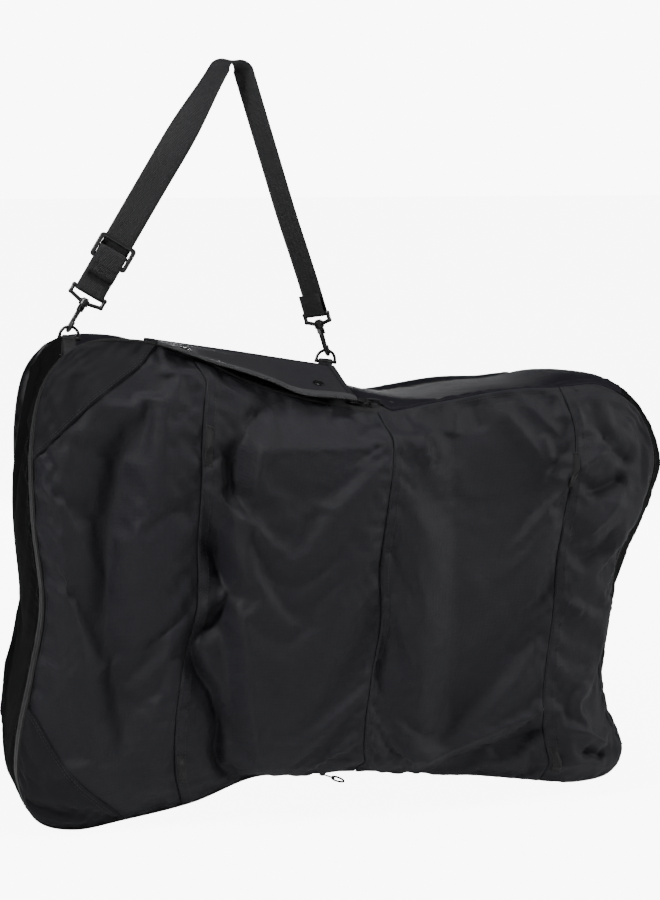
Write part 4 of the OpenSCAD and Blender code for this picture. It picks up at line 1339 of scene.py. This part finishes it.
RIGHT_BAR = joint_place("ring_right_turn")
LEFT_FOOT = joint_place("left_hook_swivel")
RIGHT_FOOT = joint_place("right_hook_swivel")
LEFT_DIR = np.array(JOINTS["left_hook_swivel"]["axis"])
RIGHT_DIR = np.array(JOINTS["right_hook_swivel"]["axis"])
LEFT_OUT = np.array([-LEFT_DIR[2], 0, LEFT_DIR[0]])
RIGHT_OUT = np.array([RIGHT_DIR[2], 0, -RIGHT_DIR[0]])
LEFT_RING = LEFT_FOOT + LEFT_DIR * RING_BAR_Z
RIGHT_RING = RIGHT_FOOT + RIGHT_DIR * RING_BAR_Z
LEG_ANGLE = math.acos(float(LEFT_DIR @ RIGHT_DIR))
GAP = RIGHT_RING - LEFT_RING
LEFT_LEG = (GAP[0] * RIGHT_DIR[2] - GAP[2] * RIGHT_DIR[0]) / math.sin(LEG_ANGLE)
RIGHT_LEG = (GAP[0] * LEFT_DIR[2] - GAP[2] * LEFT_DIR[0]) / math.sin(LEG_ANGLE)
APEX_CUT = APEX_R / math.tan(LEG_ANGLE / 2)
LEFT_LEN, RIGHT_LEN = LEFT_LEG - APEX_CUT, RIGHT_LEG - APEX_CUT
APEX_CENTRE = LEFT_RING + LEFT_DIR * LEFT_LEN + np.array([LEFT_DIR[2], 0, -LEFT_DIR[0]]) * APEX_R


def across(outward, turn):
    a = math.radians(turn)
    return outward * math.sin(a) + Y * math.cos(a)


def strap_stations():
    """Centre line of the webbing and the direction across it, from end to end."""
    st = []
    for h in (34, 24, 14):
        st.append((LEFT_RING + LEFT_DIR * h + [0, -0.9, 0], LEFT_OUT))
    for a in arc(180, 0, 13):
        st.append((LEFT_RING - LEFT_DIR * (LAYER * math.sin(a))
                   + np.array([0, LAYER * math.cos(a), 0]), LEFT_OUT))
    for h in np.linspace(10, LEFT_LEN, 60):
        y = LAYER * (1 - float(smooth(120, 240, h)))
        turn = 90 - 60 * float(smooth(0.5, 1, h / LEFT_LEN))
        st.append((LEFT_RING + LEFT_DIR * h + [0, y, 0], across(LEFT_OUT, turn)))
    start = math.atan2(LEFT_DIR[0], LEFT_DIR[2])
    turn_total = math.pi - LEG_ANGLE
    for f in np.linspace(0, 1, 26)[1:-1]:
        a = start + turn_total * f
        out = np.array([-math.cos(a), 0, math.sin(a)])
        st.append((APEX_CENTRE + out * APEX_R, across(out, lerp(30, RIGHT_TURN, f))))
    r = math.radians(RIGHT_TURN)
    face = RIGHT_OUT * math.cos(r) - Y * math.sin(r)
    wide = across(RIGHT_OUT, RIGHT_TURN)
    for h in np.linspace(RIGHT_LEN, 10, 50):
        off = LAYER * (1 - float(smooth(30, 150, h)))
        st.append((RIGHT_RING + RIGHT_DIR * h + face * off, wide))
    for a in arc(0, 180, 13):
        st.append((RIGHT_RING - RIGHT_DIR * (LAYER * math.sin(a))
                   + face * (LAYER * math.cos(a)), wide))
    for h in (14, 26):
        st.append((RIGHT_RING + RIGHT_DIR * h - face * (LAYER - 0.3 * (h - 14) / 12), wide))
    return np.array([s[0] for s in st]), np.array([s[1] for s in st]), face, wide


def box_stitch(centre, along, wide, out, length, width):
    """Paths of a sewn box with a cross in it."""
    corners = [centre + along * (a * length / 2) + wide * (w * width / 2) + out
               for a, w in ((-1, -1), (1, -1), (1, 1), (-1, 1))]
    paths = [np.linspace(corners[i], corners[(i + 1) % 4], 12) for i in range(4)]
    return paths + [np.linspace(corners[k], corners[k + 2], 14) for k in (0, 1)]


def strap():
    centres, wide, face, right_wide = strap_stations()
    ribbon("shoulder_webbing", centres, wide, WEBBING_W, WEBBING_T, "strap", "strap_webbing")
    rows = []
    for out in (face * (LAYER + 0.75), -face * (LAYER + 0.55)):
        rows += box_stitch(RIGHT_RING + RIGHT_DIR * 17, RIGHT_DIR, right_wide, out, 15, 31)
    stitches("strap_end_stitching", rows, "strap", **WEBBING_STITCH)
    glide_y = LAYER - 1.5 * WEBBING_T - GLIDE_BAR_R - 3 * BAR_GAP
    centre = LEFT_RING + LEFT_DIR * GLIDE_H + [0, glide_y, 0]
    tri_glide(centre)
    end_loop(centre)


def end_loop(centre):
    """The strap's sewn end, looped over the adjuster's middle bar."""
    r = GLIDE_BAR_R + BAR_GAP + WEBBING_T / 2
    pts = [centre + LEFT_DIR * h + Y * r for h in (-36, -30, -24, -18, -12, -6)]
    pts += [centre + LEFT_DIR * (r * math.sin(a)) + Y * (r * math.cos(a))
            for a in arc(0, 180, 13)]
    pts += [centre + LEFT_DIR * h - Y * r for h in (-6, -12, -18, -24, -30, -36)]
    ribbon("strap_end", pts, np.tile(LEFT_OUT, (len(pts), 1)), WEBBING_W, WEBBING_T,
           "adjuster", "strap_end_loop")
    rows = box_stitch(centre - LEFT_DIR * 27, LEFT_DIR, LEFT_OUT, -Y * (r + 0.8), 13, 31)
    stitches("strap_end_box", rows, "adjuster", **WEBBING_STITCH)


def rounded_loop(half_w, half_h, r, count=6):
    pts = []
    for cx, cy, start in ((1, 1, 0), (-1, 1, 90), (-1, -1, 180), (1, -1, 270)):
        for a in arc(start, start + 90, count):
            pts.append((cx * (half_w - r) + r * math.cos(a), cy * (half_h - r) + r * math.sin(a)))
    return np.array(pts)


def tri_glide(centre):
    """Moulded ladder-lock: a rounded frame with a ribbed middle bar."""

    def at(loop, depth):
        return centre + loop[:, :1] * LEFT_OUT + loop[:, 1:] * LEFT_DIR - Y * depth

    outer, inner = (GLIDE_HALF_W + 2.9, GLIDE_HALF_H + 2.7), (GLIDE_HALF_W - 2.4,
                                                              GLIDE_HALF_H - 2.2)
    levels = [(outer[0] - 0.8, outer[1] - 0.8, 2.0), (outer[0], outer[1], 1.2),
              (outer[0], outer[1], -1.2), (outer[0] - 0.8, outer[1] - 0.8, -1.9),
              (inner[0] + 0.8, inner[1] + 0.8, -1.9), (inner[0], inner[1], -1.0),
              (inner[0], inner[1], 1.2), (inner[0] + 0.8, inner[1] + 0.8, 2.0)]
    rings = [at(rounded_loop(w, h, 5.0 if w > 21 else 2.6), d) for w, h, d in levels]
    bars = [(np.concatenate(rings), quads(len(rings), len(rings[0]), True, True, TURNED).tolist())]
    path = [centre + LEFT_OUT * x for x in np.linspace(-GLIDE_HALF_W, GLIDE_HALF_W, 60)]
    radius = [GLIDE_BAR_R + 0.12 * math.sin(k * 1.9) for k in range(60)]
    bars.append(tube_mesh(path, np.array(radius), 12))
    obj = join_parts("adjuster_frame", bars, PLASTIC)
    attach(obj, "adjuster", "tri_glide")


def ring_tab(side, bar, t0, t1):
    """Webbing folded round a ring's bar and sewn down, on a reinforcing strip."""
    axis = unit(RIGHT_BAR - LEFT_BAR)
    up = np.array([-axis[2], 0, axis[0]])

    def ground(yy):
        s = (yy - FRONT_Y) / BAND_W
        ts = np.linspace(13, 20, 1400)
        p = band_at(ts, s)
        return p[np.argmin(abs(p[:, 0] - bar[0]))]

    pts = [ground(yy) + up * 1.6 for yy in (-26, -20, -14, -9)]
    pts.append(bar - Y * 3.6 - up * 3.5)
    pts += [bar + TAB_FOLD_R * (up * math.sin(a) - Y * math.cos(a))
            for a in arc(0, 180, 11)]
    pts.append(bar + Y * 3.6 - up * 3.5)
    pts += [ground(yy) + up * 1.6 for yy in (9, 14, 20, 26)]
    path = curve(np.array(pts), 90)
    ribbon(f"ring_tab_{side}_webbing", path, np.tile(axis, (90, 1)), TAB_W, TAB_T, "bag",
           "ring_tab_" + side)
    ts = np.linspace(t0, t1, 40)
    strip = band_at(ts, 0.5, -0.9)
    ribbon(f"ring_tab_{side}_strip", strip, np.tile(Y, (40, 1)), STRIP_W, STRIP_T, "bag")
    rows = []
    for yy in (-21, 21):
        rows += box_stitch(ground(yy) + up * 2.6, Y, axis, 0, 9, 12)
    stitches(f"ring_tab_{side}_stitching", rows, "bag", pitch=2.6, length=2.0, radius=0.35)


def hardware():
    for side in ("left", "right"):
        moulded("d_ring_" + side, STEEL, 0.4, 2)
        moulded("hook_" + side, PLASTIC, 0.35, 5)
        moulded("gate_" + side, PLASTIC, 0.3, 3)
        moulded("swivel_ring_" + side, PLASTIC, 0.4, 5, 0.55)
    ring_tab("left", LEFT_BAR, 13.3, 14.45)
    ring_tab("right", RIGHT_BAR, 18.1, 19.0)


# ------------------------------------------------------------------- inside

def pad(name, node, points, body, quilt_u, quilt_v, flip=False):
    """Foam pad with a quilted cover."""
    m, n = points.shape[:2]
    iu, iv = grid_of(np.linspace(0, 1, m), np.linspace(0, 1, n))
    a, b = iu * quilt_u + iv * quilt_v, iu * quilt_u - iv * quilt_v
    puff = 1.5 * np.minimum(np.abs(np.sin(np.pi * a)), np.abs(np.sin(np.pi * b))) ** 0.5
    normal = grid_normals(points) * (-1 if flip else 1)
    p = points + normal * (puff[..., None] - 1.0)
    uvs = (iu * quilt_u * 55, iv * quilt_v * 55)
    attach(grid_object(name, p, PADDING, uvs, thickness=3.0, flip=flip), body, node)


PAD_DEPTH = 14.0


def inside():
    uu, vv = grid_of(np.linspace(LEFT_SEAM + 0.03, MIDDLE_SEAM - 0.03, 70),
                         np.linspace(0.1, 0.88, 130))
    pad("door_pad_quilt", "door_pad", front_at(uu, vv) + [0, PAD_DEPTH, 0], "door", 3, 6,
        flip=True)
    uu, vv = grid_of(np.linspace(0.1, 0.9, 150), np.linspace(0.12, 0.88, 100))
    pad("back_pad_quilt", "back_pad", back_at(uu, vv) - [0, PAD_DEPTH, 0], "bag", 8, 5)
    tt, ss = grid_of(np.linspace(-3.6, 4.2, 150), np.linspace(0.12, 0.88, 60))
    pad("base_pad_quilt", "base_pad", band_at(tt, ss, 9.0), "bag", 8, 3, flip=True)
    for name, node, t0, t1, s0, s1, count in (
            ("back_seam_binding", "back_binding", 0.01, RIM_N - 0.01, 0.94, 0.985, 420),
            ("front_seam_binding", "front_binding", 19.45, RIM_N - 0.6, 0.03, 0.07, 260)):
        ts = np.linspace(t0, t1, count)
        tt, ss = grid_of(ts, np.linspace(s0, s1, 6))
        p = band_at(tt, ss, 3.0)
        along = in_columns(rim_length(ts), 6)
        obj = grid_object(name, p, BINDING, (ss * BAND_W, along), thickness=0.9,
                          flip=True)
        attach(obj, "bag", node)


def seam_bridge():
    """Fabric behind the middle seam, at the door's hinge line."""
    uu, vv = grid_of(np.linspace(MIDDLE_SEAM - 0.022, MIDDLE_SEAM + 0.03, 26),
                         np.linspace(0.02, 0.98, 120))
    p = front_at(uu, vv) + [0, 3.2, 0]
    obj = grid_object("seam_bridge", p, LINING, face_uv(uu, vv), thickness=0.8)
    hinge_fold(obj)


# ----------------------------------------------------------- camera and light

CAMERA_TARGET = Vector(((STAND + [0, 0, 431.7]) * MM).tolist())
CAMERA_DISTANCE, CAMERA_AZIMUTH, CAMERA_HEIGHT = 3.3, 15.0, 7.0
CAMERA_LENS, CAMERA_SENSOR = 140.6, 36.0
LIGHT_TARGET = (0, 0, 0.3)


def aim(obj, target):
    obj.rotation_euler = (Vector(target) - obj.location).to_track_quat("-Z", "Y").to_euler()


def camera():
    a, e = math.radians(CAMERA_AZIMUTH), math.radians(CAMERA_HEIGHT)
    data = bpy.data.cameras.new("camera")
    data.lens, data.sensor_width, data.sensor_fit = CAMERA_LENS, CAMERA_SENSOR, "HORIZONTAL"
    obj = into_scene("camera", data)
    obj.location = CAMERA_TARGET + CAMERA_DISTANCE * Vector(
        (-math.sin(a) * math.cos(e), -math.cos(a) * math.cos(e), math.sin(e)))
    aim(obj, CAMERA_TARGET)
    bpy.context.scene.camera = obj


def area_light(name, location, size, power):
    data = bpy.data.lights.new(name, "AREA")
    data.shape, data.size, data.energy = "SQUARE", size, power
    obj = into_scene(name, data)
    obj.location = location
    aim(obj, LIGHT_TARGET)


AMBIENT, BACKDROP, FLOOR_GLOW = 0.03, 9.0, 8.0
FLOOR_SIZE, FLOOR_GAP = 30, 0.0005
# Name, place (m), size (m) and power (W)
LIGHTS = (("key", (-1.9, -1.15, 2.1), 0.6, 62), ("side", (2.6, -0.95, 1.3), 0.7, 42),
          ("top", (0.3, -0.6, 2.9), 0.8, 34), ("front", (-0.4, -3.0, 1.2), 1.2, 4),
          ("back", (0.7, 2.7, 0.45), 0.7, 42))


def studio():
    """Pale backdrop and floor that only the camera sees as bright, and soft lights."""
    world = bpy.data.worlds.new("studio")
    world.use_nodes = True
    background = world.node_tree.nodes["Background"]
    background.inputs[0].default_value = (1, 1, 1, 1)
    background.inputs[1].default_value = AMBIENT
    seen = world.node_tree.nodes.new("ShaderNodeBackground")
    seen.inputs[1].default_value = BACKDROP
    ray = world.node_tree.nodes.new("ShaderNodeLightPath")
    pick = world.node_tree.nodes.new("ShaderNodeMixShader")
    links = world.node_tree.links
    links.new(ray.outputs["Is Camera Ray"], pick.inputs[0])
    links.new(background.outputs[0], pick.inputs[1])
    links.new(seen.outputs[0], pick.inputs[2])
    links.new(pick.outputs[0], world.node_tree.nodes["World Output"].inputs[0])
    seen.inputs[0].default_value = (1, 1, 1, 1)
    bpy.context.scene.world = world
    for light in LIGHTS:
        area_light(*light)
    mat = bpy.data.materials.new("pale_floor")
    mat.use_nodes = True
    tree = mat.node_tree
    look = tree.nodes["Principled BSDF"]
    look.inputs["Base Color"].default_value = (0.86, 0.86, 0.86, 1)
    look.inputs["Roughness"].default_value = 0.8
    look.inputs["Emission Color"].default_value = (1, 1, 1, 1)
    seen = tree.nodes.new("ShaderNodeLightPath")
    glow = tree.nodes.new("ShaderNodeMath")
    glow.operation = "MULTIPLY"
    glow.inputs[1].default_value = FLOOR_GLOW
    tree.links.new(seen.outputs["Is Camera Ray"], glow.inputs[0])
    tree.links.new(glow.outputs[0], look.inputs["Emission Strength"])
    z = CAD_BOX[0][2] - FLOOR_GAP
    mesh = bpy.data.meshes.new("floor")
    corners = ((-1, -1), (1, -1), (1, 1), (-1, 1))
    mesh.from_pydata([(a * FLOOR_SIZE, b * FLOOR_SIZE, z) for a, b in corners], [], [(0, 1, 2, 3)])
    mesh.materials.append(mat)
    into_scene("floor", mesh)


def build():
    panels()
    corner_patch("corner_patch_top_cover", "corner_patch_top", True)
    corner_patch("corner_patch_foot_cover", "corner_patch_foot", False)
    seam_stitching()
    u = LEFT_SEAM + 0.003
    seam_loops("left_seam_loop", "seam_loops_left", "door", ((u, 0.745), (u, 0.09)))
    seam_loops("right_seam_loop", "seam_loops_right", "bag",
               ((RIGHT_SEAM - 0.006, 0.76), (RIGHT_SEAM + 0.003, 0.045)))
    zips()
    storm_flap()
    snaps()
    strap()
    hardware()
    inside()
    seam_bridge()
    camera()
    studio()


build()
